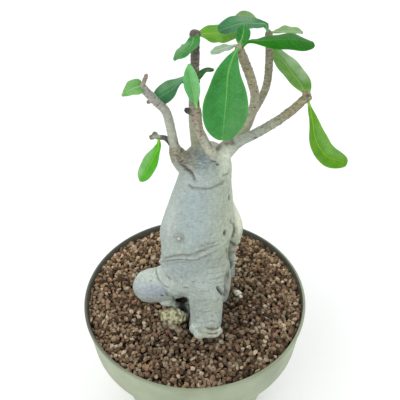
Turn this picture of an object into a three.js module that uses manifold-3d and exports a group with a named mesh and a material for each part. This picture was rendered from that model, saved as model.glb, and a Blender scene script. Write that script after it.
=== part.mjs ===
// A potted desert rose: a plastic pot filled with volcanic grit, and in it a swollen grey trunk
// with bare branches that carry a few glossy leaves at their tips.
// Millimetres, +Z up. The origin is the centre of the pot's flat base, and the plant's front faces -Y.
import * as THREE from "three";
import { mergeVertices } from "three/addons/utils/BufferGeometryUtils.js";
import Module from "manifold-3d";

const wasm = await Module();
wasm.setup();

// Pot
const POT_HEIGHT = 126;
const RIM_RADIUS = 85;
const RIM_LIP = 0.7;
const RIM_LIP_HEIGHT = 4;
const COLLAR_HEIGHT = 34;
const COLLAR_LOW_RADIUS = 82;
const BODY_TOP_RADIUS = 74.5;
const FOOT_RADIUS = 56;
const WALL = 1.8;
const EDGE_ROUND = 0.7;
const POT_SEGMENTS = 60;
const DRAIN_HOLES = 6;
const DRAIN_RADIUS = 4.5;
const DRAIN_RING_RADIUS = 36;
const DRAIN_SIDES = 12;
const DRAIN_CUT_DEPTH = 9;

// Clearance between pieces that touch
const CLEARANCE = 0.3;

// Grit
const GRIT_LEVEL = 119.5;
const GRAIN_RINGS = 20;
const GRAIN_STEP = 4.2;
const GRAIN_HEIGHT = 2.6;
const GRAIN_SHIFT = 0.26;
const LOWEST_GRAIN = 0.45;
const GAP_DEPTH = 0.5;
const GRAIN_SEED = 7;

// Trunk: stations from the buried end to the crown, as [height, centre x, centre y, half width, half depth]
const TRUNK = [
  [109, 1, 10, 17, 12],
  [116, 1, 10, 19, 13],
  [124, 1, 9, 21, 14],
  [130, 0, 7, 22.8, 17.2],
  [136, -0.3, 4.5, 24, 20.6],
  [143, -0.5, 3, 24.8, 22.6],
  [150, -0.6, 2.5, 25, 23.4],
  [157, -0.7, 2.4, 24.8, 23.6],
  [165, -0.6, 2.2, 24.4, 23.6],
  [175, 0.2, 2, 24.6, 24],
  [186, 1.4, 1.5, 25.2, 24],
  [193, 2.2, 1, 24.8, 23.4],
  [202, 3, 0.5, 23.6, 22],
  [215, 4.6, 0, 21.2, 19.6],
  [227, 5.8, 0, 18.8, 17.2],
  [237, 7, 0, 17, 15.6],
  [246, 7.7, 0, 15.8, 14],
  [251, 8, 0, 14.2, 12.4],
  [255, 8.4, 0, 10.5, 9.5],
];
const TRUNK_SIDES = 28;
const TRUNK_STEPS = 24;
const CROWN_RISE = 2;

// Shallow swellings that wind round the trunk: how far they stand out, how many there are round it,
// and the height in which they turn by one radian
const SWELLINGS = [
  { out: 0.5, count: 3, pitch: 11 },
  { out: 0.35, count: 5, pitch: -7 },
];

// The rings of a limb's rounded end: how far ahead of the last one, and how wide, as shares of its radius
const ROUNDED_END = [
  [0.45, 0.86],
  [0.8, 0.5],
];

// Roots and limbs: [x, y, z, diameter] along each centre line, thick end first
const ROOTS = {
  toe: {
    sides: 16,
    steps: 7,
    at: [[-6, 2, 142, 32], [-18, 2.2, 135, 29.5], [-28, 2.2, 130.6, 27.4], [-36, 2.2, 128.8, 26.5]],
  },
  apron: {
    sides: 14,
    steps: 4,
    at: [[-4, -2, 160, 30], [-10, -5, 150, 28], [-13, -6.5, 144, 25]],
  },
  foot: {
    sides: 14,
    steps: 9,
    at: [
      [4, -4, 167, 33], [6, -8, 154, 31.5], [8, -14.8, 139, 26.6], [8.6, -22, 125, 24.2],
      [8, -24.4, 113, 25.6],
    ],
  },
  rightLobe: {
    sides: 12,
    steps: 7,
    at: [[12, 2, 162, 24], [15, 2, 148, 24], [16.5, 2, 133, 23], [15.5, 2, 115, 21]],
  },
  backRoot: {
    sides: 12,
    steps: 14,
    at: [
      [13, 6, 214, 20], [20, 10, 196, 22], [26.5, 14, 178, 19], [26, 18, 160, 14],
      [25, 19.6, 144, 14], [25, 23, 128, 15], [25, 25.6, 113, 15],
    ],
  },
  leftBackRoot: {
    sides: 12,
    steps: 8,
    at: [[-6, 12, 168, 26], [-12, 20, 146, 24], [-15, 27, 128, 20], [-16, 31, 113, 18]],
  },
  stub: {
    sides: 12,
    steps: 6,
    at: [[0, 0, 114, 9], [-8, -13.6, 116, 11], [-13, -19.2, 118.8, 14.6], [-18, -20.6, 119.6, 13.4]],
  },
};

// Folds of bark round the trunk: [x, y, z, diameter] along the ridge
const FOLDS = {
  belt: {
    sides: 6,
    steps: 20,
    at: [
      [-21, 13, 148, 3], [-25, 1, 157, 4.2], [-19.2, -12, 170.2, 4.6], [-11.5, -19, 179, 4.6],
      [-3, -22.4, 183.6, 4.4], [5, -22.4, 186, 4.2], [12.7, -19, 187.2, 4],
      [19.4, -12.4, 187, 3.6], [24, -3, 184, 2.8],
    ],
  },
};

// Branches: [x, y, z, diameter] from the crown to the tip
const BRANCHES = {
  shoulder: {
    sides: 12,
    steps: 6,
    at: [[4, -2, 238, 20], [-4, -3, 246, 16], [-9, -4.5, 252.5, 11], [-11.5, -5.5, 260, 6.4]],
  },
  left: {
    sides: 8,
    steps: 16,
    at: [
      [-8, -4, 250, 7], [-11.5, -5.6, 262, 5.4], [-14, -8, 280, 5], [-16, -10, 288, 4.8],
      [-20, -12, 293.5, 4.6], [-27.2, -15, 304, 4],
    ],
  },
  leftBud: {
    sides: 6,
    steps: 2,
    at: [[-22, -12.6, 296, 2.6], [-24.6, -12, 293.6, 2.2]],
  },
  leftStalk: {
    sides: 6,
    steps: 2,
    at: [[-27, -14.8, 304.6, 2.4], [-24.4, -14, 310.4, 1.9]],
  },
  leftTwig: {
    sides: 6,
    steps: 5,
    at: [[-11.5, -5.4, 259, 3.4], [-16, -5.6, 266.4, 3], [-21, -6.6, 268, 2.6]],
  },
  innerTall: {
    sides: 8,
    steps: 16,
    at: [
      [4, 2, 243, 11], [2, 4.5, 251.7, 6.6], [0.4, 6, 262, 5.2], [-0.4, 8, 274, 5],
      [0, 12, 288, 5], [1, 16, 306, 5], [1, 18, 321, 5],
    ],
  },
  frontShort: {
    sides: 8,
    steps: 12,
    at: [
      [12, -2, 243, 13], [12, -4, 252, 9], [9, -7, 261, 6], [5.5, -9, 269, 5.2],
      [3, -11, 277, 4.8], [2.3, -12, 288.6, 4.6],
    ],
  },
  frontStub: {
    sides: 6,
    steps: 2,
    at: [[2.4, -12, 285.8, 3.4], [-3.6, -12, 288.6, 3]],
  },
  centre: {
    sides: 8,
    steps: 20,
    at: [
      [13, -1, 246, 12], [17, -1.4, 255, 9], [24, 0, 261.5, 6.6], [30, 1, 267, 5.8],
      [34, 2, 277, 5.4], [35.8, 1, 289, 5], [33.6, -1, 299, 4.8], [29.2, -6, 311.5, 4.8],
      [24.2, -11, 323.6, 4.6],
    ],
  },
  centreFork: {
    sides: 8,
    steps: 14,
    at: [
      [33.6, 2, 277, 4.8], [39, 6, 285, 4.4], [43, 10.5, 292.5, 4.3], [44.2, 15, 304, 4.2],
      [42.8, 17, 321.4, 4],
    ],
  },
  right: {
    sides: 8,
    steps: 16,
    at: [
      [13, -2, 246, 13], [21, -3.4, 256, 8], [27, -5, 263.6, 6], [35, -6, 269, 5.6],
      [42.4, -7, 274.5, 5.3], [50, -8, 280.8, 5], [57.2, -8, 287.5, 4.8], [63.8, -6.2, 293.6, 4.6],
    ],
  },
};

// Leaves: midrib points from the stalk in the branch tip to the blade's tip, the way that the upper
// side faces at the stalk and at the tip, the blade's full width, the share of its length at which it
// is widest, how far each half folds up, in degrees, and how slender the blade is towards its base and
// towards its tip: the lower the fullness number, the fuller that end
const LEAVES = [
  {
    midrib: [[-26.4, -14.6, 303.4], [-29.2, -17.5, 305.2], [-32.9, -20.5, 304.7], [-37.1, -23, 302.8]],
    face: [[-0.2, -0.7, 0.7], [-0.3, -0.6, 0.75]],
    width: 10.5,
    widest: 0.36,
    fold: 8,
    baseFullness: 0.8,
    tipFullness: 0.8,
  },
  {
    midrib: [[-20.6, -6.6, 268], [-20.7, -9.5, 263.5], [-25, -11.5, 254.2], [-33.2, -12.5, 239.9]],
    face: [[-0.6, -0.6, 0.5], [-0.5, -0.85, 0.1]],
    width: 11.2,
    widest: 0.58,
    fold: 16,
    baseFullness: 0.75,
    tipFullness: 0.55,
  },
  {
    midrib: [
      [1.8, -11.4, 289.6], [-1.1, -9.6, 302.2], [-4, -7.6, 304.8], [-11.5, -5, 297.8],
      [-22.1, -3, 290.3],
    ],
    face: [[-0.7, 0.5, 0.4], [-0.3, -0.7, 0.65]],
    width: 13.8,
    widest: 0.76,
    fold: 8,
    baseFullness: 0.8,
    tipFullness: 0.36,
  },
  {
    midrib: [[2.4, -12.6, 289.6], [0.2, -15.4, 302.3], [-1, -16, 309.5], [-1.9, -14, 316.9]],
    face: [[0, -1, 0.2], [0, -0.95, 0.3]],
    width: 10.4,
    widest: 0.62,
    fold: 36,
    baseFullness: 0.85,
    tipFullness: 0.75,
  },
  {
    midrib: [
      [3, -11, 289.8], [2.6, -8, 296.9], [3, -6, 304.9], [6, -3.5, 307.9],
      [11.7, -2, 308.3],
    ],
    face: [[0.6, 0.8, 0.1], [-0.3, -0.3, 0.9]],
    width: 5.6,
    widest: 0.78,
    fold: 8,
    baseFullness: 0.85,
    tipFullness: 0.65,
  },
  {
    midrib: [[0.8, 17, 321], [-0.8, 9, 317.6], [-4.8, 5, 315.1], [-10.8, 2, 312.1]],
    face: [[-0.5, -0.35, 0.8], [-0.5, -0.3, 0.8]],
    width: 12.4,
    widest: 0.5,
    fold: 12,
    baseFullness: 0.6,
    tipFullness: 0.6,
  },
  {
    midrib: [[2, 18.6, 320.8], [8.7, 20, 320.3], [15.6, 20.5, 320.3], [25.5, 19.5, 319.5]],
    face: [[0, -0.3, 1], [0.1, -0.3, 1]],
    width: 17,
    widest: 0.52,
    fold: 0,
    baseFullness: 0.7,
    tipFullness: 0.5,
  },
  {
    midrib: [
      [42, 16.4, 322.4], [40.5, 16.6, 326.4], [34.4, 15.2, 327.6], [27.5, 13, 328.4],
      [20.8, 10, 327.6], [14, 7, 326.2],
    ],
    face: [[-0.6, -0.4, 0.7], [0.15, -0.22, 0.95]],
    width: 14.5,
    widest: 0.66,
    fold: 8,
    baseFullness: 0.6,
    tipFullness: 0.45,
  },
  {
    midrib: [[24.4, -9.9, 325.4], [26.1, -6.6, 328.9], [26.9, -2.6, 332.8]],
    face: [[0, -0.8, 0.6], [0, -0.75, 0.65]],
    width: 7.8,
    widest: 0.5,
    fold: 12,
    baseFullness: 0.42,
    tipFullness: 0.45,
  },
  {
    midrib: [
      [43, 18.8, 322.4], [39.9, 21, 324.6], [35, 25, 325.6], [30.2, 28, 327.1],
      [24.2, 29, 327.4],
    ],
    face: [[-0.1, -0.1, 1], [0, -0.1, 1]],
    width: 12,
    widest: 0.74,
    fold: 8,
    baseFullness: 1.3,
    tipFullness: 0.5,
  },
  {
    midrib: [
      [25.6, -11.8, 324.6], [28.5, -12.5, 327.7], [35, -13, 328.4], [42.6, -13, 328.7],
      [51.1, -12.5, 328.9], [62.9, -10, 326],
    ],
    face: [[0, -0.2, 1], [0.1, -0.2, 1]],
    width: 15.8,
    widest: 0.66,
    fold: -10,
    baseFullness: 0.75,
    tipFullness: 0.4,
  },
  {
    midrib: [[43.6, 17.8, 321.8], [52.9, 20.5, 321.5], [62.8, 22, 320.5]],
    face: [[0, 0, 1], [0.1, 0, 1]],
    width: 13,
    widest: 0.62,
    fold: 10,
    baseFullness: 0.85,
    tipFullness: 0.45,
  },
  {
    midrib: [
      [63.8, -5.2, 294.6], [60.7, 4, 297.8], [55.4, 14, 302], [51.1, 23, 305.2],
      [47.1, 31, 308.5],
    ],
    face: [[0.25, -0.4, 0.8], [0.15, -0.35, 0.9]],
    width: 15.5,
    widest: 0.42,
    fold: 14,
    baseFullness: 0.62,
    tipFullness: 0.5,
  },
  {
    midrib: [
      [64.6, -6.6, 293], [67.6, -11.5, 282.2], [71, -13.5, 270.2], [79.4, -12.5, 258.5],
      [93.6, -10, 252],
    ],
    face: [[0.5, -0.7, 0.5], [0.2, -0.85, 0.5]],
    width: 14.8,
    widest: 0.58,
    fold: 24,
    baseFullness: 0.85,
    tipFullness: 0.45,
  },
  {
    midrib: [
      [24, -12.4, 324.2], [21.8, -18, 324.4], [18.1, -27, 317.7], [17.4, -29.5, 305.7],
      [16, -28, 278.4],
    ],
    face: [[0, -0.3, 0.95], [0, -1, 0.1]],
    width: 24,
    widest: 0.65,
    fold: 8,
    baseFullness: 0.85,
    tipFullness: 0.55,
  },
  {
    midrib: [[22.6, -10.4, 325.2], [17.1, -15.5, 325.7], [9.1, -17, 323.6]],
    face: [[0, -0.35, 0.95], [0, -0.35, 0.95]],
    width: 5.8,
    widest: 0.62,
    fold: 14,
    baseFullness: 0.7,
    tipFullness: 0.5,
  },
];
const BLADE_THICKNESS = 0.9;
const BLADE_STEPS = 9;
const BLADE_HALF_COLUMNS = 2;
const STALK_HALF_WIDTH = 0.95;
const FLAT_HALF_WIDTH = 2;
const BLADE_END = 0.99;
const RINGS_TOWARDS_TIP = 1.25;

// Finishes
const POT_PLASTIC = new THREE.MeshStandardMaterial({ color: 0xaab69b, roughness: 0.55, metalness: 0 });
const VOLCANIC_GRIT = new THREE.MeshStandardMaterial({ color: 0x7d5e50, roughness: 0.95, metalness: 0 });
const PALE_BARK = new THREE.MeshStandardMaterial({ color: 0xc6cbbf, roughness: 0.7, metalness: 0 });
const GREEN_LEAF = new THREE.MeshStandardMaterial({ color: 0x3d8c3c, roughness: 0.4, metalness: 0 });

// Repeatable random numbers from 0 to 1.
function seededRandom(seed) {
  let state = seed;
  return () => {
    state = (state + 0x6d2b79f5) | 0;
    let mixed = Math.imul(state ^ (state >>> 15), 1 | state);
    mixed = (mixed + Math.imul(mixed ^ (mixed >>> 7), 61 | mixed)) ^ mixed;
    return ((mixed ^ (mixed >>> 14)) >>> 0) / 4294967296;
  };
}

// A closed geometry as a solid that can be joined and cut.
function solidOf(geometry) {
  const bare = geometry.clone();
  bare.deleteAttribute("normal");
  bare.deleteAttribute("uv");
  const merged = mergeVertices(bare, 1e-4);
  return new wasm.Manifold(
    new wasm.Mesh({
      numProp: 3,
      vertProperties: merged.attributes.position.array,
      triVerts: new Uint32Array(merged.index.array),
    }),
  );
}

// A solid as a named mesh.
function meshOf(solid, name, material) {
  const data = solid.getMesh();
  const geometry = new THREE.BufferGeometry();
  geometry.setAttribute("position", new THREE.BufferAttribute(new Float32Array(data.vertProperties), 3));
  geometry.setIndex(new THREE.BufferAttribute(new Uint32Array(data.triVerts), 1));
  geometry.computeVertexNormals();
  const mesh = new THREE.Mesh(geometry, material);
  mesh.name = name;
  return mesh;
}

// The largest body of a solid, without loose scraps.
function largestBody(solid) {
  return solid.decompose().reduce((a, b) => (a.volume() > b.volume() ? a : b));
}

// All the solids joined into one.
function joined(solids) {
  return solids.reduce((a, b) => a.add(b));
}

// A closed solid turned about the Z axis from [radius, height] points.
function turned(profile) {
  const points = profile.map(([radius, height]) => new THREE.Vector2(radius, height));
  return solidOf(new THREE.LatheGeometry(points, POT_SEGMENTS).rotateX(Math.PI / 2));
}

// A closed skin over rings that turn anticlockwise about the way from the first to the last.
function skinned(rings, start, end) {
  const count = rings[0].length;
  const points = [...rings.flat(), start, end];
  const startIndex = points.length - 2;
  const endIndex = points.length - 1;
  const faces = [];
  rings.forEach((ring, i) => {
    for (let j = 0; j < count; j++) {
      const next = (j + 1) % count;
      const a = i * count + j;
      const b = i * count + next;
      if (i === 0) faces.push(startIndex, b, a);
      if (i === rings.length - 1) faces.push(endIndex, a, b);
      else faces.push(a, b, b + count, a, b + count, a + count);
    }
  });
  const geometry = new THREE.BufferGeometry().setFromPoints(points);
  geometry.setIndex(faces);
  return solidOf(geometry);
}

// A smooth curve of numbers through the rows of a table, read at a share of the way from 0 to 1.
function alongTable(table, share) {
  const place = share * (table.length - 1);
  const i = Math.min(Math.floor(place), table.length - 2);
  const t = place - i;
  const row = (k) => table[Math.max(0, Math.min(table.length - 1, k))];
  return table[0].map((_, column) => {
    const [a, b, c, d] = [row(i - 1)[column], row(i)[column], row(i + 1)[column], row(i + 2)[column]];
    return b + 0.5 * t * (c - a + t * (2 * a - 5 * b + 4 * c - d + t * (3 * (b - c) + d - a)));
  });
}

// A round limb along [x, y, z, diameter] points, with a rounded far end.
function limb({ at, sides, steps }, grow) {
  const rings = [];
  const centres = [];
  const radii = [];
  for (let i = 0; i <= steps; i++) {
    const [x, y, z, diameter] = alongTable(at, i / steps);
    centres.push(new THREE.Vector3(x, y, z));
    radii.push(diameter / 2 + grow);
  }
  const endRadius = radii[steps];
  const endDirection = centres[steps].clone().sub(centres[steps - 1]).normalize();
  for (const [ahead, share] of ROUNDED_END) {
    centres.push(centres[steps].clone().addScaledVector(endDirection, ahead * endRadius));
    radii.push(share * endRadius);
  }
  const last = centres.length - 1;
  const firstWay = centres[1].clone().sub(centres[0]).normalize();
  const isLevel = Math.abs(firstWay.x) > Math.abs(firstWay.z);
  let across = isLevel ? new THREE.Vector3(0, 1, 0) : new THREE.Vector3(1, 0, 0);
  centres.forEach((centre, i) => {
    const before = centres[Math.max(i - 1, 0)];
    const after = centres[Math.min(i + 1, last)];
    const along = after.clone().sub(before).normalize();
    across = across.clone().addScaledVector(along, -across.dot(along)).normalize();
    const beside = along.clone().cross(across);
    const ring = [];
    for (let j = 0; j < sides; j++) {
      const angle = (2 * Math.PI * j) / sides;
      ring.push(
        centre
          .clone()
          .addScaledVector(across, radii[i] * Math.cos(angle))
          .addScaledVector(beside, radii[i] * Math.sin(angle)),
      );
    }
    rings.push(ring);
  });
  const tip = centres[steps].clone().addScaledVector(endDirection, endRadius);
  return skinned(rings, centres[0], tip);
}

// How far the trunk swells at an angle and a height.
function swellingAt(angle, z) {
  const waves = SWELLINGS.map(({ out, count, pitch }) => out * Math.sin(count * angle + z / pitch));
  return waves.reduce((sum, wave) => sum + wave, 0);
}

// The trunk's own skin, with shallow swellings that wind round it.
function trunk(grow) {
  const rings = [];
  for (let i = 0; i <= TRUNK_STEPS; i++) {
    const [z, x, y, halfWidth, halfDepth] = alongTable(TRUNK, i / TRUNK_STEPS);
    const ring = [];
    for (let j = 0; j < TRUNK_SIDES; j++) {
      const angle = (2 * Math.PI * j) / TRUNK_SIDES;
      const swelling = swellingAt(angle, z);
      ring.push(
        new THREE.Vector3(
          x + (halfWidth + swelling + grow) * Math.cos(angle),
          y + (halfDepth + swelling + grow) * Math.sin(angle),
          z,
        ),
      );
    }
    rings.push(ring);
  }
  const [bottom] = TRUNK;
  const top = TRUNK[TRUNK.length - 1];
  return skinned(
    rings,
    new THREE.Vector3(bottom[1], bottom[2], bottom[0] - grow),
    new THREE.Vector3(top[1], top[2], top[0] + CROWN_RISE + grow),
  );
}

// The whole plant without its leaves, or with every surface moved out by grow.
function plantSolid(grow) {
  const limbs = [...Object.values(ROOTS), ...Object.values(FOLDS), ...Object.values(BRANCHES)];
  return joined([trunk(grow), ...limbs.map((one) => limb(one, grow))]);
}

// The pot: a collared wall on a flat base with a ring of drain holes.
function potSolid() {
  const step = POT_HEIGHT - COLLAR_HEIGHT;
  const collarTop = RIM_RADIUS - RIM_LIP;
  const shell = turned([
    [0, 0],
    [FOOT_RADIUS - 2 * EDGE_ROUND, 0],
    [FOOT_RADIUS, 2 * EDGE_ROUND],
    [BODY_TOP_RADIUS, step],
    [COLLAR_LOW_RADIUS - EDGE_ROUND, step],
    [COLLAR_LOW_RADIUS, step + EDGE_ROUND],
    [collarTop, POT_HEIGHT - RIM_LIP_HEIGHT],
    [RIM_RADIUS, POT_HEIGHT - RIM_LIP_HEIGHT + EDGE_ROUND],
    [RIM_RADIUS, POT_HEIGHT - EDGE_ROUND],
    [RIM_RADIUS - EDGE_ROUND, POT_HEIGHT],
    [RIM_RADIUS - WALL, POT_HEIGHT],
    ...cavityProfile(0),
  ]);
  const hole = new THREE.CylinderGeometry(DRAIN_RADIUS, DRAIN_RADIUS, DRAIN_CUT_DEPTH, DRAIN_SIDES);
  hole.rotateX(Math.PI / 2);
  const holes = [];
  for (let i = 0; i < DRAIN_HOLES; i++) {
    const angle = (2 * Math.PI * i) / DRAIN_HOLES;
    const x = DRAIN_RING_RADIUS * Math.cos(angle);
    const y = DRAIN_RING_RADIUS * Math.sin(angle);
    holes.push(solidOf(hole.clone().translate(x, y, 0)));
  }
  return shell.subtract(joined(holes));
}

// The inside of the pot from below the rim to the middle of the floor, drawn in by a clearance.
function cavityProfile(clearance) {
  const step = POT_HEIGHT - COLLAR_HEIGHT + WALL;
  return [
    [RIM_RADIUS - WALL - RIM_LIP - clearance, POT_HEIGHT - RIM_LIP_HEIGHT],
    [COLLAR_LOW_RADIUS - WALL - clearance, step + clearance],
    [BODY_TOP_RADIUS - WALL - clearance, step + clearance],
    [FOOT_RADIUS - WALL - clearance, WALL + clearance],
    [0, WALL + clearance],
  ];
}

// A bed whose top is packed with six-sided grains on a net of rings, each grain a little out of place.
function grainBed() {
  const random = seededRandom(GRAIN_SEED);
  const points = [];
  const indexOf = (ring, sector, place) => {
    if (ring === 0) return 0;
    const around = (sector * ring + place) % (6 * ring);
    return 1 + 3 * ring * (ring - 1) + around;
  };
  const axes = [[1, 0], [0, 1], [-1, 1], [-1, 0], [0, -1], [1, -1]];
  for (let ring = 0; ring <= GRAIN_RINGS; ring++) {
    for (let around = 0; around < Math.max(1, 6 * ring); around++) {
      const sector = ring ? Math.floor(around / ring) : 0;
      const place = ring ? around % ring : 0;
      const turn = axes[(sector + 2) % 6];
      const column = ring * axes[sector][0] + place * turn[0];
      const row = ring * axes[sector][1] + place * turn[1];
      const isGrainTop = (((column - row) % 3) + 3) % 3 === 0;
      const angle = ring ? (2 * Math.PI * around) / (6 * ring) : 0;
      const shiftX = (random() - 0.5) * 2 * GRAIN_SHIFT * GRAIN_STEP;
      const shiftY = (random() - 0.5) * 2 * GRAIN_SHIFT * GRAIN_STEP;
      const share = random();
      const grainTop = GRAIN_HEIGHT * (LOWEST_GRAIN + (1 - LOWEST_GRAIN) * share);
      const height = isGrainTop ? grainTop : -GAP_DEPTH * share;
      points.push(
        new THREE.Vector3(
          ring * GRAIN_STEP * Math.cos(angle) + shiftX,
          ring * GRAIN_STEP * Math.sin(angle) + shiftY,
          GRIT_LEVEL - GRAIN_HEIGHT / 2 + height,
        ),
      );
    }
  }
  const faces = [];
  for (let ring = 1; ring <= GRAIN_RINGS; ring++) {
    for (let sector = 0; sector < 6; sector++) {
      for (let place = 0; place < ring; place++) {
        const outer = indexOf(ring, sector, place);
        const outerNext = indexOf(ring, sector, place + 1);
        const inner = indexOf(ring - 1, sector, place);
        faces.push(outer, outerNext, inner);
        if (place < ring - 1) faces.push(outerNext, indexOf(ring - 1, sector, place + 1), inner);
      }
    }
  }
  const edge = 6 * GRAIN_RINGS;
  const edgeStart = points.length - edge;
  const lowStart = points.length;
  for (let i = 0; i < edge; i++) points.push(points[edgeStart + i].clone().setZ(0));
  const middle = points.push(new THREE.Vector3(0, 0, 0)) - 1;
  for (let i = 0; i < edge; i++) {
    const next = (i + 1) % edge;
    faces.push(edgeStart + i, lowStart + i, lowStart + next);
    faces.push(edgeStart + i, lowStart + next, edgeStart + next);
    faces.push(lowStart + next, lowStart + i, middle);
  }
  const geometry = new THREE.BufferGeometry().setFromPoints(points);
  geometry.setIndex(faces);
  return solidOf(geometry);
}

// The grit: the grain bed inside the pot, with a plain hole where the plant stands.
function gritSolid(plantGrown) {
  const inside = turned([
    ...cavityProfile(CLEARANCE).reverse(),
    [RIM_RADIUS - WALL - RIM_LIP - CLEARANCE, POT_HEIGHT],
    [0, POT_HEIGHT],
  ]);
  return largestBody(grainBed().intersect(inside).subtract(plantGrown));
}

// The blade's half width at a share of its length: a narrow stalk, widest past the middle, a round tip.
function bladeHalfWidth({ width, widest, baseFullness, tipFullness }, share) {
  const power = Math.log(0.5) / Math.log(widest);
  const fullness = share < widest ? baseFullness : tipFullness;
  const outline = Math.sin(Math.PI * share ** power) ** fullness;
  return Math.max(STALK_HALF_WIDTH, (width / 2) * outline);
}

// One leaf: a thin blade with even thickness on both sides of a curved midrib.
function leafSolid(leaf) {
  const { midrib, face, fold } = leaf;
  const curve = new THREE.CatmullRomCurve3(midrib.map((point) => new THREE.Vector3(...point)));
  const rings = [];
  const lean = THREE.MathUtils.degToRad(fold);
  const columns = 2 * BLADE_HALF_COLUMNS + 1;
  for (let i = 0; i <= BLADE_STEPS; i++) {
    const share = BLADE_END * (1 - (1 - i / BLADE_STEPS) ** RINGS_TOWARDS_TIP);
    const centre = curve.getPointAt(share);
    const along = curve.getTangentAt(share);
    const up = new THREE.Vector3(...face[0]).lerp(new THREE.Vector3(...face[1]), share);
    up.addScaledVector(along, -up.dot(along)).normalize();
    const side = along.clone().cross(up);
    const half = bladeHalfWidth(leaf, share);
    const tilt = half > FLAT_HALF_WIDTH ? lean : 0;
    const upper = [];
    const lower = [];
    for (let j = 0; j < columns; j++) {
      const across = j / BLADE_HALF_COLUMNS - 1;
      const normal = up.clone().applyAxisAngle(along, Math.sign(across) * tilt);
      const point = centre
        .clone()
        .addScaledVector(side, across * half * Math.cos(lean))
        .addScaledVector(up, Math.abs(across) * half * Math.sin(lean));
      upper.push(point.clone().addScaledVector(normal, BLADE_THICKNESS / 2));
      lower.push(point.clone().addScaledVector(normal, -BLADE_THICKNESS / 2));
    }
    rings.push([...upper, ...lower.reverse()]);
  }
  return skinnedFlat(rings);
}

// A closed skin over flat rings of a blade, whose upper half runs one way and lower half back,
// with the same split of each square on both faces and flat ends.
function skinnedFlat(rings) {
  const count = rings[0].length;
  const half = count / 2;
  const faces = [];
  const at = (i, j) => i * count + (j % count);
  const last = rings.length - 1;
  for (let i = 0; i < last; i++) {
    for (let j = 0; j < count; j++) {
      const [a, b, c, d] = [at(i, j), at(i, j + 1), at(i + 1, j + 1), at(i + 1, j)];
      if (j < half) faces.push(a, b, c, a, c, d);
      else faces.push(a, b, d, b, c, d);
    }
  }
  for (let j = 0; j < half - 1; j++) {
    const [upper, upperNext, lowerNext, lower] = [j, j + 1, count - 2 - j, count - 1 - j];
    faces.push(at(0, upper), at(0, lower), at(0, lowerNext));
    faces.push(at(0, upper), at(0, lowerNext), at(0, upperNext));
    faces.push(at(last, upper), at(last, upperNext), at(last, lowerNext));
    faces.push(at(last, upper), at(last, lowerNext), at(last, lower));
  }
  const geometry = new THREE.BufferGeometry().setFromPoints(rings.flat());
  geometry.setIndex(faces);
  return solidOf(geometry);
}

const plantGrown = plantSolid(CLEARANCE);
const group = new THREE.Group();
group.add(meshOf(potSolid(), "pot", POT_PLASTIC));
group.add(meshOf(gritSolid(plantGrown), "grit", VOLCANIC_GRIT));
group.add(meshOf(plantSolid(0), "plant", PALE_BARK));
LEAVES.forEach((leaf, i) => {
  const solid = largestBody(leafSolid(leaf).subtract(plantGrown));
  group.add(meshOf(solid, `leaf_${String(i + 1).padStart(2, "0")}`, GREEN_LEAF));
});

export default group;
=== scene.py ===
"""A desert rose in a plastic pot of volcanic grit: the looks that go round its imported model.

Lengths in the tables are millimetres, and the meshes are metres, +Z up. The origin is the centre of the
pot's flat base, and the plant's front faces -Y.
"""

import logging
import math
from dataclasses import dataclass
from enum import Enum
from typing import Sequence

import bpy
import numpy as np
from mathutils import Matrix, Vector, noise
from mathutils.bvhtree import BVHTree


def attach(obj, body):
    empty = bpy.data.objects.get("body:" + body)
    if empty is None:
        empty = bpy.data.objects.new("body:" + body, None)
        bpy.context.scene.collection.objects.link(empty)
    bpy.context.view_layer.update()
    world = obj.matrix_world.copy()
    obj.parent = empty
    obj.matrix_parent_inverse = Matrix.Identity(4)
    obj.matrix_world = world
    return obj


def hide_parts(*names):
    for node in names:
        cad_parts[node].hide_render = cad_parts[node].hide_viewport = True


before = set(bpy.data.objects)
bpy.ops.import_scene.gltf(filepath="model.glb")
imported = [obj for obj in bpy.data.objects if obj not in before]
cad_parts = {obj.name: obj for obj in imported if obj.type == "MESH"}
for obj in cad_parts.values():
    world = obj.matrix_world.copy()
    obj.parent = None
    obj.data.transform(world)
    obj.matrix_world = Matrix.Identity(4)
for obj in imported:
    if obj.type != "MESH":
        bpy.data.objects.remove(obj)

log = logging.getLogger("desert_rose")
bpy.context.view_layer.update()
ROOT_BODY = "root"
MM = 0.001
MERGE_WITHIN = 0.001
PHOTO_PIXELS = 400
NUMBER_RESULTS = ("LENGTH", "DISTANCE", "DOT_PRODUCT")

Colour = tuple[int, int, int]
Point = tuple[float, float, float]
Pixel = tuple[float, float]
Array = np.ndarray
Piece = bpy.types.Object
Socket = bpy.types.NodeSocket


def linear(colour: Colour) -> Array:
    """The linear colour, from 0 to 1, of a screen colour from 0 to 255."""
    share = np.array(colour, float) / 255
    return np.where(share <= 0.04045, share / 12.92, ((share + 0.055) / 1.055) ** 2.4)


def rgba(colour: Colour) -> tuple[float, float, float, float]:
    """The linear colour with full alpha."""
    return (*(float(value) for value in linear(colour)), 1.0)


def mixed(colours: Array, other: Colour, share: Array) -> Array:
    """Blends linear colours with a screen colour by a share for each row."""
    return colours + (linear(other) - colours) * share[:, None]


def smoothstep(value: Array, low: float, high: float) -> Array:
    """Rises smoothly from 0 at low to 1 at high."""
    share = np.clip((value - low) / (high - low), 0, 1)
    return share * share * (3 - 2 * share)


def along_table(table: Array, shares: Array) -> Array:
    """Reads a smooth curve through the rows of a table.

    Args:
        table: One row for each point, such as x, y, z and diameter.
        shares: Places along the table, from 0 to 1.

    Returns:
        One row for each share.
    """
    last = len(table) - 1
    place = shares * last
    index = np.minimum(place.astype(int), last - 1)
    t = (place - index)[:, None]
    a, b, c, d = (table[np.clip(index + step, 0, last)] for step in (-1, 0, 1, 2))
    return b + 0.5 * t * (c - a + t * (2 * a - 5 * b + 4 * c - d + t * (3 * (b - c) + d - a)))


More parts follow.
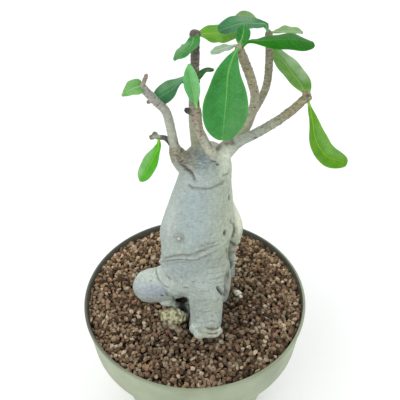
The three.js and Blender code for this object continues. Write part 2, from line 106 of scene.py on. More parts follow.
def noise_at(points: Array, scale: Point, seed: float = 0.0) -> Array:
    """Smooth noise from about -1 to 1 at points, with bumps of a size along x, y and z, moved by the seed."""
    scaled = points / np.array(scale, float) + seed
    return np.array([noise.noise(row) for row in scaled.tolist()])


def relaxed(points: Array, edges: Array, weight: Array, rounds: int) -> Array:
    """Smooths a mesh by moving each vertex towards its neighbours.

    Args:
        points: The vertices.
        edges: Pairs of neighbours.
        weight: How far each vertex moves, from 0 to 1.
        rounds: How often.

    Returns:
        The smoothed vertices.
    """
    count = len(points)
    first, second = edges[:, 0], edges[:, 1]
    degree = np.bincount(first, minlength=count) + np.bincount(second, minlength=count)
    step = (0.5 * weight)[:, None]
    for _ in range(rounds):
        total = np.zeros_like(points)
        for axis in range(3):
            total[:, axis] = np.bincount(first, points[second, axis], count)
            total[:, axis] += np.bincount(second, points[first, axis], count)
        points = points + step * (total / degree[:, None] - points)
    return points


def linked(name: str, data: bpy.types.ID) -> Piece:
    """Makes an object at the origin and puts it in the scene.

    Args:
        name: The object's name.
        data: Its mesh, light or camera.

    Returns:
        The object.
    """
    made = bpy.data.objects.new(name, data)
    bpy.context.scene.collection.objects.link(made)
    return made


def mesh_object(
    name: str, points: Array, faces: Sequence[Sequence[int]] = (), edges: Sequence[Sequence[int]] = ()
) -> Piece:
    """A mesh object at the origin with smooth faces.

    Args:
        name: The object's name.
        points: Vertices in millimetres.
        faces: Vertex indices of each face.
        edges: Vertex indices of each edge that has no face.

    Returns:
        The linked object.
    """
    mesh = bpy.data.meshes.new(name)
    mesh.from_pydata((points * MM).tolist(), list(edges), [list(map(int, face)) for face in faces])
    mesh.shade_smooth()
    return linked(name, mesh)


def ball(segments: int, rings: int) -> tuple[Array, list[list[int]]]:
    """A ball of radius 1.

    Args:
        segments: How many faces lie round it.
        rings: How many lie from pole to pole.

    Returns:
        Its vertices, from pole to pole, and its faces.
    """
    rows = [(0.0, 0.0, 1.0)]
    for i in range(1, rings):
        down = math.pi * i / rings
        for j in range(segments):
            turn = 2 * math.pi * j / segments
            rows.append((math.sin(down) * math.cos(turn), math.sin(down) * math.sin(turn), math.cos(down)))
    rows.append((0.0, 0.0, -1.0))
    faces = []
    last = len(rows) - 1
    for j in range(segments):
        after = (j + 1) % segments
        faces.append([0, 1 + j, 1 + after])
        for i in range(rings - 2):
            first, second = 1 + i * segments, 1 + (i + 1) * segments
            faces.append([first + j, second + j, second + after, first + after])
        faces.append([last - segments + j, last, last - segments + after])
    return np.array(rows), faces


BALL_POINTS, BALL_FACES = ball(14, 8)


def rows_of(items: bpy.types.bpy_prop_collection, name: str, columns: int, kind: type) -> Array:
    """Reads a property of many vertices or edges at once.

    Args:
        items: The vertices, their normals or the edges.
        name: The property.
        columns: How many numbers it has.
        kind: Their type.

    Returns:
        One row for each item.
    """
    flat = np.zeros(len(items) * columns, kind)
    items.foreach_get(name, flat)
    return flat.reshape(-1, columns)


def vertices_of(made: Piece) -> Array:
    """The object's vertices in millimetres."""
    return rows_of(made.data.vertices, "co", 3, np.float32).astype(float) / MM


def normals_of(made: Piece) -> Array:
    """The object's vertex normals."""
    return rows_of(made.data.vertex_normals, "vector", 3, np.float32).astype(float)


def edges_of(made: Piece) -> Array:
    """The object's edges as pairs of vertex indices."""
    return rows_of(made.data.edges, "vertices", 2, np.int32)


def set_vertices(made: Piece, points: Array) -> None:
    """Puts the object's vertices at these places, in millimetres."""
    made.data.vertices.foreach_set("co", (points * MM).astype(np.float32).ravel())
    made.data.update()


def set_attribute(made: Piece, name: str, values: Array) -> None:
    """Stores one number, or one colour, for each vertex.

    Args:
        made: The mesh object.
        name: The attribute's name, as its material reads it.
        values: One row for each vertex: a number, or red, green and blue.
    """
    if values.ndim == 1:
        attribute = made.data.attributes.new(name, "FLOAT", "POINT")
        attribute.data.foreach_set("value", values.astype(np.float32))
        return
    attribute = made.data.attributes.new(name, "FLOAT_COLOR", "POINT")
    with_alpha = np.column_stack([values, np.ones(len(values))])
    attribute.data.foreach_set("color", with_alpha.astype(np.float32).ravel())


def baked(made: Piece) -> Piece:
    """Turns an object with its modifiers into a plain mesh and removes the modifiers.

    Args:
        made: The object.

    Returns:
        The same object with its new mesh.
    """
    evaluated = made.evaluated_get(bpy.context.evaluated_depsgraph_get())
    plain = bpy.data.meshes.new_from_object(evaluated)
    made.modifiers.clear()
    made.data = plain
    return made


class Graph:
    """A node tree that is written as calls: each call adds one node and sets or links its inputs."""

    def __init__(self, tree: bpy.types.NodeTree) -> None:
        """Keeps the tree that the calls add to."""
        self.tree = tree

    def give(self, socket: Socket, value: object) -> None:
        """Links or sets one input.

        Args:
            socket: The input.
            value: The socket that it is linked to, or its own value.
        """
        if isinstance(value, bpy.types.NodeSocket):
            self.tree.links.new(value, socket)
        else:
            socket.default_value = value

    def add(self, kind: str, inputs: dict | None = None, **settings: object) -> bpy.types.Node:
        """Adds one node.

        Args:
            kind: Blender's name of the node type.
            inputs: Values or sockets for its inputs, by name or by index.
            settings: Properties of the node.

        Returns:
            The node.
        """
        node = self.tree.nodes.new(kind)
        for name, value in settings.items():
            setattr(node, name, value)
        for key, value in (inputs or {}).items():
            self.give(node.inputs[key], value)
        return node

    def out(self, kind: str, inputs: dict | None = None, **settings: object) -> Socket:
        """Adds one node, as add does, and gives its first output."""
        return self.add(kind, inputs, **settings).outputs[0]

    def maths(self, operation: str, first: object, second: object = 0.0) -> Socket:
        """The result of one Math node, in a shader or in a geometry tree."""
        return self.out("ShaderNodeMath", {0: first, 1: second}, operation=operation)

    def product(self, first: object, *others: object) -> Socket:
        """Multiplies numbers, one after another.

        Args:
            first: A number or a socket.
            others: More of them.

        Returns:
            The socket of the product.
        """
        for other in others:
            first = self.maths("MULTIPLY", first, other)
        return first

    def vector(self, operation: str, first: object, second: object = (0, 0, 0)) -> Socket:
        """The result of one Vector Math node: a vector, or a number where the operation gives one."""
        node = self.add("ShaderNodeVectorMath", {0: first, 1: second}, operation=operation)
        return node.outputs["Value" if operation in NUMBER_RESULTS else "Vector"]

    def split(self, vector: Socket) -> Sequence[Socket]:
        """The x, y and z of a vector."""
        return self.add("ShaderNodeSeparateXYZ", {0: vector}).outputs

    def join(self, x: object, y: object, z: object) -> Socket:
        """The vector of an x, y and z."""
        return self.out("ShaderNodeCombineXYZ", {0: x, 1: y, 2: z})

    def blend(self, share: object, first: object, second: object) -> Socket:
        """Mixes a share of the second colour into the first."""
        return self.add("ShaderNodeMix", {0: share, 6: first, 7: second}, data_type="RGBA").outputs[2]

    def bands(self, share: Socket, stops: Sequence[tuple[float, Colour]]) -> Socket:
        """Turns a number into one of several colours.

        Args:
            share: A number from 0 to 1.
            stops: The place from which each screen colour holds, in order.

        Returns:
            The socket of the colour.
        """
        node = self.add("ShaderNodeValToRGB", {"Fac": share})
        ramp = node.color_ramp
        ramp.interpolation = "CONSTANT"
        while len(ramp.elements) < len(stops):
            ramp.elements.new(0.5)
        for element, (place, colour) in zip(ramp.elements, stops):
            element.position = place
            element.color = rgba(colour)
        return node.outputs["Color"]

    def range(self, value: Socket, low: float, high: float, out_low: float, out_high: float) -> Socket:
        """Maps a number from one range to another and keeps it inside."""
        return self.out("ShaderNodeMapRange", {0: value, 1: low, 2: high, 3: out_low, 4: out_high})


class SkinGraph(Graph):
    """A material's nodes, with the patterns that the finishes share."""

    def __init__(self, name: str) -> None:
        """Makes an empty material with one Principled shader.

        Args:
            name: The material's name.
        """
        self.material = bpy.data.materials.new(name)
        self.material.use_nodes = True
        self.material.node_tree.nodes.clear()
        super().__init__(self.material.node_tree)
        self.shader = self.add("ShaderNodeBsdfPrincipled")
        self.add("ShaderNodeOutputMaterial", {"Surface": self.shader.outputs[0]})
        self.place = self.add("ShaderNodeTexCoord").outputs["Object"]

    def speckle(self, size: float, detail: float = 3.0, stretch: Point = (1, 1, 1)) -> Socket:
        """Noise on the piece's own coordinates.

        Args:
            size: The size of one bump, in millimetres.
            detail: How many finer layers it has.
            stretch: How much longer a bump is along x, y and z.

        Returns:
            The socket of a number from 0 to 1.
        """
        scale = tuple(1 / (size * MM * factor) for factor in stretch)
        moved = self.out("ShaderNodeMapping", {"Vector": self.place, "Scale": scale})
        return self.out("ShaderNodeTexNoise", {"Vector": moved, "Scale": 1.0, "Detail": detail})

    def network(self, size: float) -> Socket:
        """How far each place lies from the lines of an uneven net with meshes of a size in millimetres."""
        inputs = {"Vector": self.place, "Scale": 1 / (size * MM)}
        return self.add("ShaderNodeTexVoronoi", inputs, feature="DISTANCE_TO_EDGE").outputs["Distance"]

    def read(self, name: str, output: str = "Fac") -> Socket:
        """An attribute of the mesh, as a number or with output Color as a colour."""
        return self.add("ShaderNodeAttribute", attribute_name=name).outputs[output]

    def raise_by(self, height: Socket, distance: float, strength: float, under: object = None) -> Socket:
        """Bumps the surface.

        Args:
            height: The pattern, from 0 to 1.
            distance: How high 1 stands, in millimetres.
            strength: How much of the bump shows.
            under: The normal of another bump below this one.

        Returns:
            The socket of the new normal.
        """
        inputs = {"Height": height, "Distance": distance * MM, "Strength": strength}
        if under is not None:
            inputs["Normal"] = under
        return self.add("ShaderNodeBump", inputs).outputs["Normal"]

    def finish(self, colour: object, rough: object, shine: float, **more: object) -> bpy.types.Material:
        """Gives the shader its inputs.

        Args:
            colour: The base colour or its socket.
            rough: The roughness or its socket.
            shine: How strongly the surface mirrors light.
            more: Other inputs, by Blender's names with _ for a space.

        Returns:
            The material.
        """
        values = {"Base_Color": colour, "Roughness": rough, "Specular_IOR_Level": shine, **more}
        for name, value in values.items():
            self.give(self.shader.inputs[name.replace("_", " ")], value)
        return self.material


@dataclass(frozen=True)
class View:
    """The camera, at the photograph's place and angle."""

    place: Point = (3.9, -263.3, 421.4)
    looks_down: float = 38.03
    lens: float = 45.0
    sensor: float = 36.0
    nearest: float = 10.0

    def build(self) -> None:
        """Makes the scene's camera."""
        data = bpy.data.cameras.new("camera")
        data.lens = self.lens
        data.sensor_width = self.sensor
        data.clip_start = self.nearest * MM
        camera = linked("camera", data)
        camera.location = Vector(self.place) * MM
        camera.rotation_euler = (math.radians(90 - self.looks_down), 0, 0)
        bpy.context.scene.camera = camera

    def ray(self, pixel: Pixel) -> Vector:
        """The way from the camera through a pixel.

        Args:
            pixel: Its column and row in the photograph.

        Returns:
            The direction, of length 1.
        """
        focal = self.lens / self.sensor * PHOTO_PIXELS
        right = (pixel[0] - PHOTO_PIXELS / 2) / focal
        up = (PHOTO_PIXELS / 2 - pixel[1]) / focal
        down = math.radians(self.looks_down)
        ahead = Vector((0, math.cos(down), -math.sin(down)))
        above = Vector((0, math.sin(down), math.cos(down)))
        return (ahead + above * up + Vector((right, 0, 0))).normalized()


@dataclass(frozen=True)
class PotPlastic:
    """Moulded sage grey-green plastic, satin, with its inside painted darker, partly as painted shade and
    partly as dirt, and mottled with dust stains, and its rim's top edge darkened a little all round by wear
    and more towards the left rear by painted shade.
    """

    outside: Colour = (160, 170, 141)
    shade: Colour = (144, 154, 125)
    inside: Colour = (84, 87, 78)
    dust: Colour = (112, 108, 94)
    rim_wear_and_shade: Colour = (84, 84, 77)
    edge_from: float = 125.0
    edge_full: float = 125.7
    most_rim_shade_at: float = -42.0
    least_rim_shade_at: float = 70.0

    def material(self) -> bpy.types.Material:
        """Makes the plastic.

        Returns:
            The material, which reads the attribute inner.
        """
        skin = SkinGraph("pot_plastic")
        cloud = skin.range(skin.speckle(26, 4), 0.35, 0.65, 0, 1)
        plain = skin.blend(cloud, rgba(self.outside), rgba(self.shade))
        stain = skin.range(skin.speckle(5, 6, (1, 1, 0.4)), 0.45, 0.75, 0, 0.5)
        # The inside is painted darker, partly as painted shade and partly as dirt, and mottled with dust
        # stains.
        stained = skin.blend(stain, rgba(self.inside), rgba(self.dust))
        sided = skin.blend(skin.read("inner"), plain, stained)
        x, y, z = skin.split(skin.place)
        # The rim's top edge is darkened a little all round as wear, and more towards the left rear as painted
        # shade.
        edge = skin.range(z, self.edge_from * MM, self.edge_full * MM, 0, 1)
        way = skin.maths("SUBTRACT", x, y)
        rim_shade_share = skin.range(way, self.most_rim_shade_at * MM, self.least_rim_shade_at * MM, 0.9, 0.1)
        colour = skin.blend(skin.product(edge, rim_shade_share), sided, rgba(self.rim_wear_and_shade))
        rough = skin.range(skin.speckle(9, 4), 0.3, 0.7, 0.42, 0.56)
        return skin.finish(colour, rough, 0.42, Normal=skin.raise_by(skin.speckle(0.55, 5), 0.05, 0.35))


@dataclass(frozen=True)
class VolcanicGrit:
    """Dry volcanic grains in browns, red-browns, tans and pinks, with painted shade where they lie deep and
    round the plant's foot, and painted light on the highest grains and towards the rear.
    """

    name: str = "volcanic_grit"
    deepest: float = 115.0
    highest: float = 121.0
    depth_shade_to_top_light: tuple[float, float] = (0.05, 1.52)
    rear: float = 70.0
    rear_painted_light: float = 1.34
    plant_shade_at: Point = (12.0, -20.0, 120.0)
    plant_shade_from: float = 22.0
    plant_shade_to: float = 44.0
    plant_shade_light: float = 0.58
    stops: tuple[tuple[float, Colour], ...] = (
        (0.0, (70, 55, 42)), (0.12, (134, 115, 92)), (0.26, (103, 84, 65)), (0.38, (156, 140, 116)),
        (0.5, (118, 95, 75)), (0.62, (142, 119, 92)), (0.73, (87, 69, 53)), (0.81, (172, 157, 132)),
        (0.88, (128, 99, 80)), (0.95, (142, 118, 86)), (0.98, (122, 112, 92)),
    )

    def material(self) -> bpy.types.Material:
        """Makes the grains' surface.

        Returns:
            The material, which reads the attribute tone.
        """
        skin = SkinGraph(self.name)
        tone = skin.bands(skin.read("tone"), self.stops)
        mottle = skin.range(skin.speckle(0.9, 5), 0.3, 0.7, 0.5, 1.4)
        _, y, z = skin.split(skin.place)
        # Painted shade and light by height: grains that lie deep are darkened, and the highest are
        # brightened.
        painted_depth_light = skin.range(z, self.deepest * MM, self.highest * MM, *self.depth_shade_to_top_light)
        region = skin.range(skin.speckle(34, 2), 0.35, 0.65, 0.86, 1.14)
        # Painted light: the grit is brightened towards the rear.
        rear = skin.range(y, 0, self.rear * MM, 1.0, self.rear_painted_light)
        # Painted shade: the grit is darkened round the plant's foot, where the plant shades it.
        offset = skin.vector("DISTANCE", skin.place, tuple(value * MM for value in self.plant_shade_at))
        plant_shade = skin.range(offset, self.plant_shade_from * MM, self.plant_shade_to * MM, self.plant_shade_light, 1.0)
        light = skin.product(skin.product(mottle, painted_depth_light), skin.product(region, rear), plant_shade)
        colour = skin.vector("MULTIPLY", tone, light)
        return skin.finish(colour, 0.92, 0.2, Normal=skin.raise_by(skin.speckle(0.5, 4), 0.35, 0.8))


@dataclass(frozen=True)
class Bark:
    """The plant's smooth pale skin, whose large colours are kept on the mesh."""

    speck: Colour = (104, 98, 78)
    light: Colour = (206, 212, 202)

    def material(self) -> bpy.types.Material:
        """Makes the skin.

        Returns:
            The material, which reads the attributes skin and rough.
        """
        skin = SkinGraph("pale_bark")
        painted = skin.read("skin", "Color")
        rough_share = skin.read("rough")
        streak = skin.range(skin.speckle(0.9, 5, (3.2, 3.2, 0.8)), 0.4, 0.7, 0, 0.35)
        bright = skin.out("ShaderNodeRGBToBW", {0: painted})
        on_pale = skin.product(streak, skin.range(bright, 0.02, 0.12, 0, 1))
        streaked = skin.blend(on_pale, painted, rgba(self.light))
        drip = skin.speckle(1.3, 4, (1, 1, 5))
        cloud = skin.speckle(2.6, 5, (1.2, 1.2, 1))
        uneven = skin.range(skin.maths("ADD", drip, cloud), 0.7, 1.3, 0.84, 1.14)
        stained = skin.vector("MULTIPLY", streaked, uneven)
        flecks = skin.range(skin.speckle(0.75, 3, (2.2, 2.2, 0.7)), 0.57, 0.68, 0, 0.55)
        fleck_share = skin.product(flecks, skin.range(rough_share, 0, 1, 0.3, 1.4))
        colour = skin.blend(fleck_share, stained, rgba(self.speck))
        wrinkles = skin.raise_by(skin.speckle(0.8, 4, (3.4, 3.4, 0.7)), 0.3, 0.6)
        pores = skin.raise_by(skin.speckle(0.4, 3), 0.14, 0.5, wrinkles)
        return skin.finish(colour, skin.range(rough_share, 0, 1, 0.5, 0.82), 0.35, Normal=pores)


@dataclass(frozen=True)
class LeafSkin:
    """A living leaf's waxy skin."""

    name: str
    top: Colour
    deep: Colour
    rib: Colour
    gloss: float = 0.42
    shine: float = 0.2
    sheen: Colour = (196, 212, 186)
    shadow: Colour = (16, 58, 30)
    glow: float = 0.12
    glow_reach: Point = (0.5, 1.0, 0.2)
    glow_depth: float = 0.8

    def material(self) -> bpy.types.Material:
        """Makes the skin: its midrib and side veins follow the distances kept on the blade's mesh.

        Returns:
            The material, which reads the attributes under, edge, rib, vein and stalk, and the attribute of
            its painted sheen and shade.
        """
        skin = SkinGraph(self.name)
        under, edge, painted_light = (skin.read(name) for name in ("under", "edge", "painted_light"))
        rib = skin.range(skin.maths("ABSOLUTE", skin.read("rib")), 0.45, 1.1, 1, 0)
        wobble = skin.product(skin.speckle(4.0, 2), 0.55)
        phase = skin.maths("ADD", skin.read("vein"), wobble)
        line = skin.range(skin.maths("PINGPONG", phase, 0.5), 0.40, 0.5, 0, 1)
        vein = skin.product(line, skin.range(edge, 0.45, 0.95, 1, 0.1))
        mottle = skin.range(skin.speckle(5.5, 5), 0.34, 0.66, 0, 1)
        blade = skin.blend(mottle, rgba(self.deep), rgba(self.top))
        cells = skin.speckle(0.8, 4)
        net = skin.range(skin.network(1.5), 0.02, 0.16, 1, 0)
        fine = skin.product(net, skin.range(cells, 0.35, 0.65, 0, 0.24))
        freckled = skin.blend(fine, blade, rgba(self.rib))
        cloud = skin.range(skin.speckle(7, 4), 0.3, 0.7, 0.6, 1.25)
        # The blade's painted light: where it is above 0 the sheen colour is blended in as painted sheen, and
        # below 0 the shadow colour as painted shade, broken up by a cloud.
        pale = skin.product(skin.maths("MAXIMUM", painted_light, 0.0), cloud)
        dark = skin.product(skin.maths("MAXIMUM", skin.product(painted_light, -1.0), 0.0), cloud)
        lit = skin.blend(pale, freckled, rgba(self.sheen))
        colour = skin.blend(dark, lit, rgba(self.shadow))
        margin = skin.range(edge, 0.9, 1, 0, 0.3)
        shares = (skin.product(vein, 0.2), margin, skin.product(rib, 0.75), skin.read("stalk"),
                  skin.product(under, 0.4))
        for share in shares:
            colour = skin.blend(share, colour, rgba(self.rib))
        veins = skin.raise_by(skin.product(skin.maths("MAXIMUM", vein, rib), -1.0), 0.35, 0.5)
        meshes = skin.raise_by(skin.product(net, -1.0), 0.12, 0.45, veins)
        rough = skin.range(under, 0, 1, self.gloss, 0.55)
        return skin.finish(
            colour, rough, self.shine, Subsurface_Weight=self.glow, Subsurface_Radius=self.glow_reach,
            Subsurface_Scale=self.glow_depth * MM, Normal=skin.raise_by(cells, 0.08, 0.4, meshes),
        )


class LeafTone(Enum):
    """The greens of the leaves, from the youngest to the oldest."""

    YOUNG = LeafSkin("leaf_young", (120, 182, 100), (98, 162, 80), (160, 196, 128))
    LIME = LeafSkin("leaf_lime", (126, 166, 98), (102, 146, 76), (158, 190, 122))
    FRESH = LeafSkin("leaf_fresh", (76, 174, 10), (54, 158, 6), (132, 194, 56))
    JADE = LeafSkin("leaf_jade", (118, 200, 128), (94, 178, 104), (170, 206, 108))
    MEADOW = LeafSkin("leaf_meadow", (96, 156, 44), (76, 138, 34), (146, 184, 84))
    OLIVE = LeafSkin("leaf_olive", (102, 168, 18), (82, 148, 10), (148, 190, 70))
    RICH = LeafSkin("leaf_rich", (30, 119, 6), (18, 100, 2), (72, 146, 34), shine=0.08)
    DEEP = LeafSkin("leaf_deep", (57, 146, 66), (40, 126, 46), (120, 184, 92))
    SHADE = LeafSkin("leaf_shade", (48, 104, 38), (34, 84, 28), (88, 134, 66))
    BLUE = LeafSkin("leaf_blue", (60, 134, 78), (36, 110, 56), (126, 178, 126))
    GREY = LeafSkin("leaf_grey", (158, 182, 154), (132, 166, 130), (188, 206, 178))


class GrowthTree(Graph):
    """A Geometry Nodes tree with named inputs, run once on an object."""

    def __init__(self, name: str) -> None:
        """Makes an empty tree that takes and gives geometry.

        Args:
            name: The tree's name.
        """
        super().__init__(bpy.data.node_groups.new(name, "GeometryNodeTree"))
        for way in ("INPUT", "OUTPUT"):
            self.tree.interface.new_socket("Geometry", in_out=way, socket_type="NodeSocketGeometry")
        self.entry = self.add("NodeGroupInput")
        self.given = self.entry.outputs[0]
        self.values: dict[str, object] = {}

    def size(self, name: str, value: float) -> Socket:
        """A named length that goes into the tree, from its value in millimetres."""
        return self._named(name, value * MM, "NodeSocketFloat")

    def count(self, name: str, value: int) -> Socket:
        """A named whole number that goes into the tree."""
        return self._named(name, value, "NodeSocketInt")

    def _named(self, name: str, value: object, kind: str) -> Socket:
        """Adds a named input and remembers its value for run.

        Args:
            name: The input's name.
            value: Its value.
            kind: Blender's name of its type.

        Returns:
            The socket that carries the value inside the tree.
        """
        item = self.tree.interface.new_socket(name, in_out="INPUT", socket_type=kind)
        self.values[item.identifier] = value
        return self.entry.outputs[name]

    def position(self) -> Socket:
        """Where each point of the geometry lies."""
        return self.out("GeometryNodeInputPosition")

    def from_axis(self) -> tuple[Socket, Socket]:
        """Each point's place without its height, and its distance from the pot's axis."""
        level = self.vector("MULTIPLY", self.position(), (1, 1, 0))
        return level, self.vector("LENGTH", level)

    def chance(self, seed: object) -> Socket:
        """A random number from 0 to 1 for each point."""
        return self.add("FunctionNodeRandomValue", {"Seed": seed}, data_type="FLOAT").outputs[1]

    def chances(self, low: Point, high: Point, seed: object) -> Socket:
        """A random vector for each point, between two corners."""
        return self.out("FunctionNodeRandomValue", {0: low, 1: high, "Seed": seed}, data_type="FLOAT_VECTOR")

    def keep(self, geometry: Socket, name: str, value: Socket, domain: str = "POINT") -> Socket:
        """The geometry with a named number stored on its points or on its instances."""
        inputs = {"Geometry": geometry, "Name": name, "Value": value}
        return self.out("GeometryNodeStoreNamedAttribute", inputs, data_type="FLOAT", domain=domain)

    def copies(self, points: Socket, thing: Socket, **inputs: Socket) -> Socket:
        """A copy of a thing on each point, with its Rotation and Scale."""
        return self.out("GeometryNodeInstanceOnPoints", {"Points": points, "Instance": thing, **inputs})

    def realized(self, geometry: Socket) -> Socket:
        """The copies as plain geometry."""
        return self.out("GeometryNodeRealizeInstances", {0: geometry})

    def smooth_but_sharp(self, geometry: Socket, angle: float = 30.0) -> Socket:
        """Shades faces smoothly, except across edges that turn by more than an angle.

        Args:
            geometry: The socket of the faces.
            angle: The angle in degrees.

        Returns:
            The socket of the shaded faces.
        """
        inputs = {"Geometry": geometry, "Shade Smooth": True}
        smooth = self.out("GeometryNodeSetShadeSmooth", inputs, domain="FACE")
        turned = self.out("GeometryNodeInputMeshEdgeAngle")
        sharp = self.maths("GREATER_THAN", turned, math.radians(angle))
        inputs = {"Geometry": smooth, "Selection": sharp, "Shade Smooth": False}
        return self.out("GeometryNodeSetShadeSmooth", inputs, domain="EDGE")

    def roughened(self, geometry: Socket, bump: float, reach: float) -> Socket:
        """Pushes every vertex a little out of place, so that no two stones are alike.

        Args:
            geometry: The socket of the stones.
            bump: The size of one bump, in millimetres.
            reach: How far a vertex may move, in millimetres.

        Returns:
            The socket of the rough stones.
        """
        wave = self.add("ShaderNodeTexNoise", {"Scale": 1 / (bump * MM), "Detail": 1.0}).outputs["Color"]
        shift = self.vector("SUBTRACT", wave, (0.5, 0.5, 0.5))
        span = self.size("Roughness", 2 * reach)
        offset = self.out("ShaderNodeVectorMath", {0: shift, "Scale": span}, operation="SCALE")
        return self.out("GeometryNodeSetPosition", {"Geometry": geometry, "Offset": offset})

    def run(self, made: Piece, geometry: Socket, material: bpy.types.Material) -> Piece:
        """Ends the tree in plain geometry with a material, runs it and keeps the result.

        Args:
            made: The object whose mesh goes in.
            geometry: The socket that holds the finished geometry.
            material: The finish of the whole result.

        Returns:
            The object with its new plain mesh.
        """
        inputs = {"Geometry": self.realized(geometry), "Material": material}
        self.add("NodeGroupOutput", {0: self.out("GeometryNodeSetMaterial", inputs)})
        modifier = made.modifiers.new(self.tree.name, "NODES")
        modifier.node_group = self.tree
        for identifier, value in self.values.items():
            modifier[identifier] = value
        return baked(made)


def merged_copy(original: Piece, name: str) -> Piece:
    """A copy of a CAD node's mesh whose loose triangles share their vertices.

    Args:
        original: The CAD node's object, which stays as it is.
        name: The copy's name.

    Returns:
        The copy, linked to the scene with no material.
    """
    made = linked(name, original.data.copy())
    made.data.materials.clear()
    tree = GrowthTree(name + "_merge")
    within = {0: tree.given, "Distance": MERGE_WITHIN * MM}
    tree.add("NodeGroupOutput", {0: tree.out("GeometryNodeMergeByDistance", within)})
    made.modifiers.new("merge", "NODES").node_group = tree.tree
    baked(made)
    made.data.shade_smooth()
    return made


def place_on_body(made: Piece, slot: str, *nodes: str) -> None:
    """Lets a finished piece ride on the body and stand for CAD nodes.

    Args:
        made: The finished piece.
        slot: The record's material slot; not used.
        nodes: The CAD nodes that it stands for.
    """
    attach(made, ROOT_BODY)
    if nodes:
        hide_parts(*nodes)
    log.info("%s: %d faces", made.name, len(made.data.polygons))


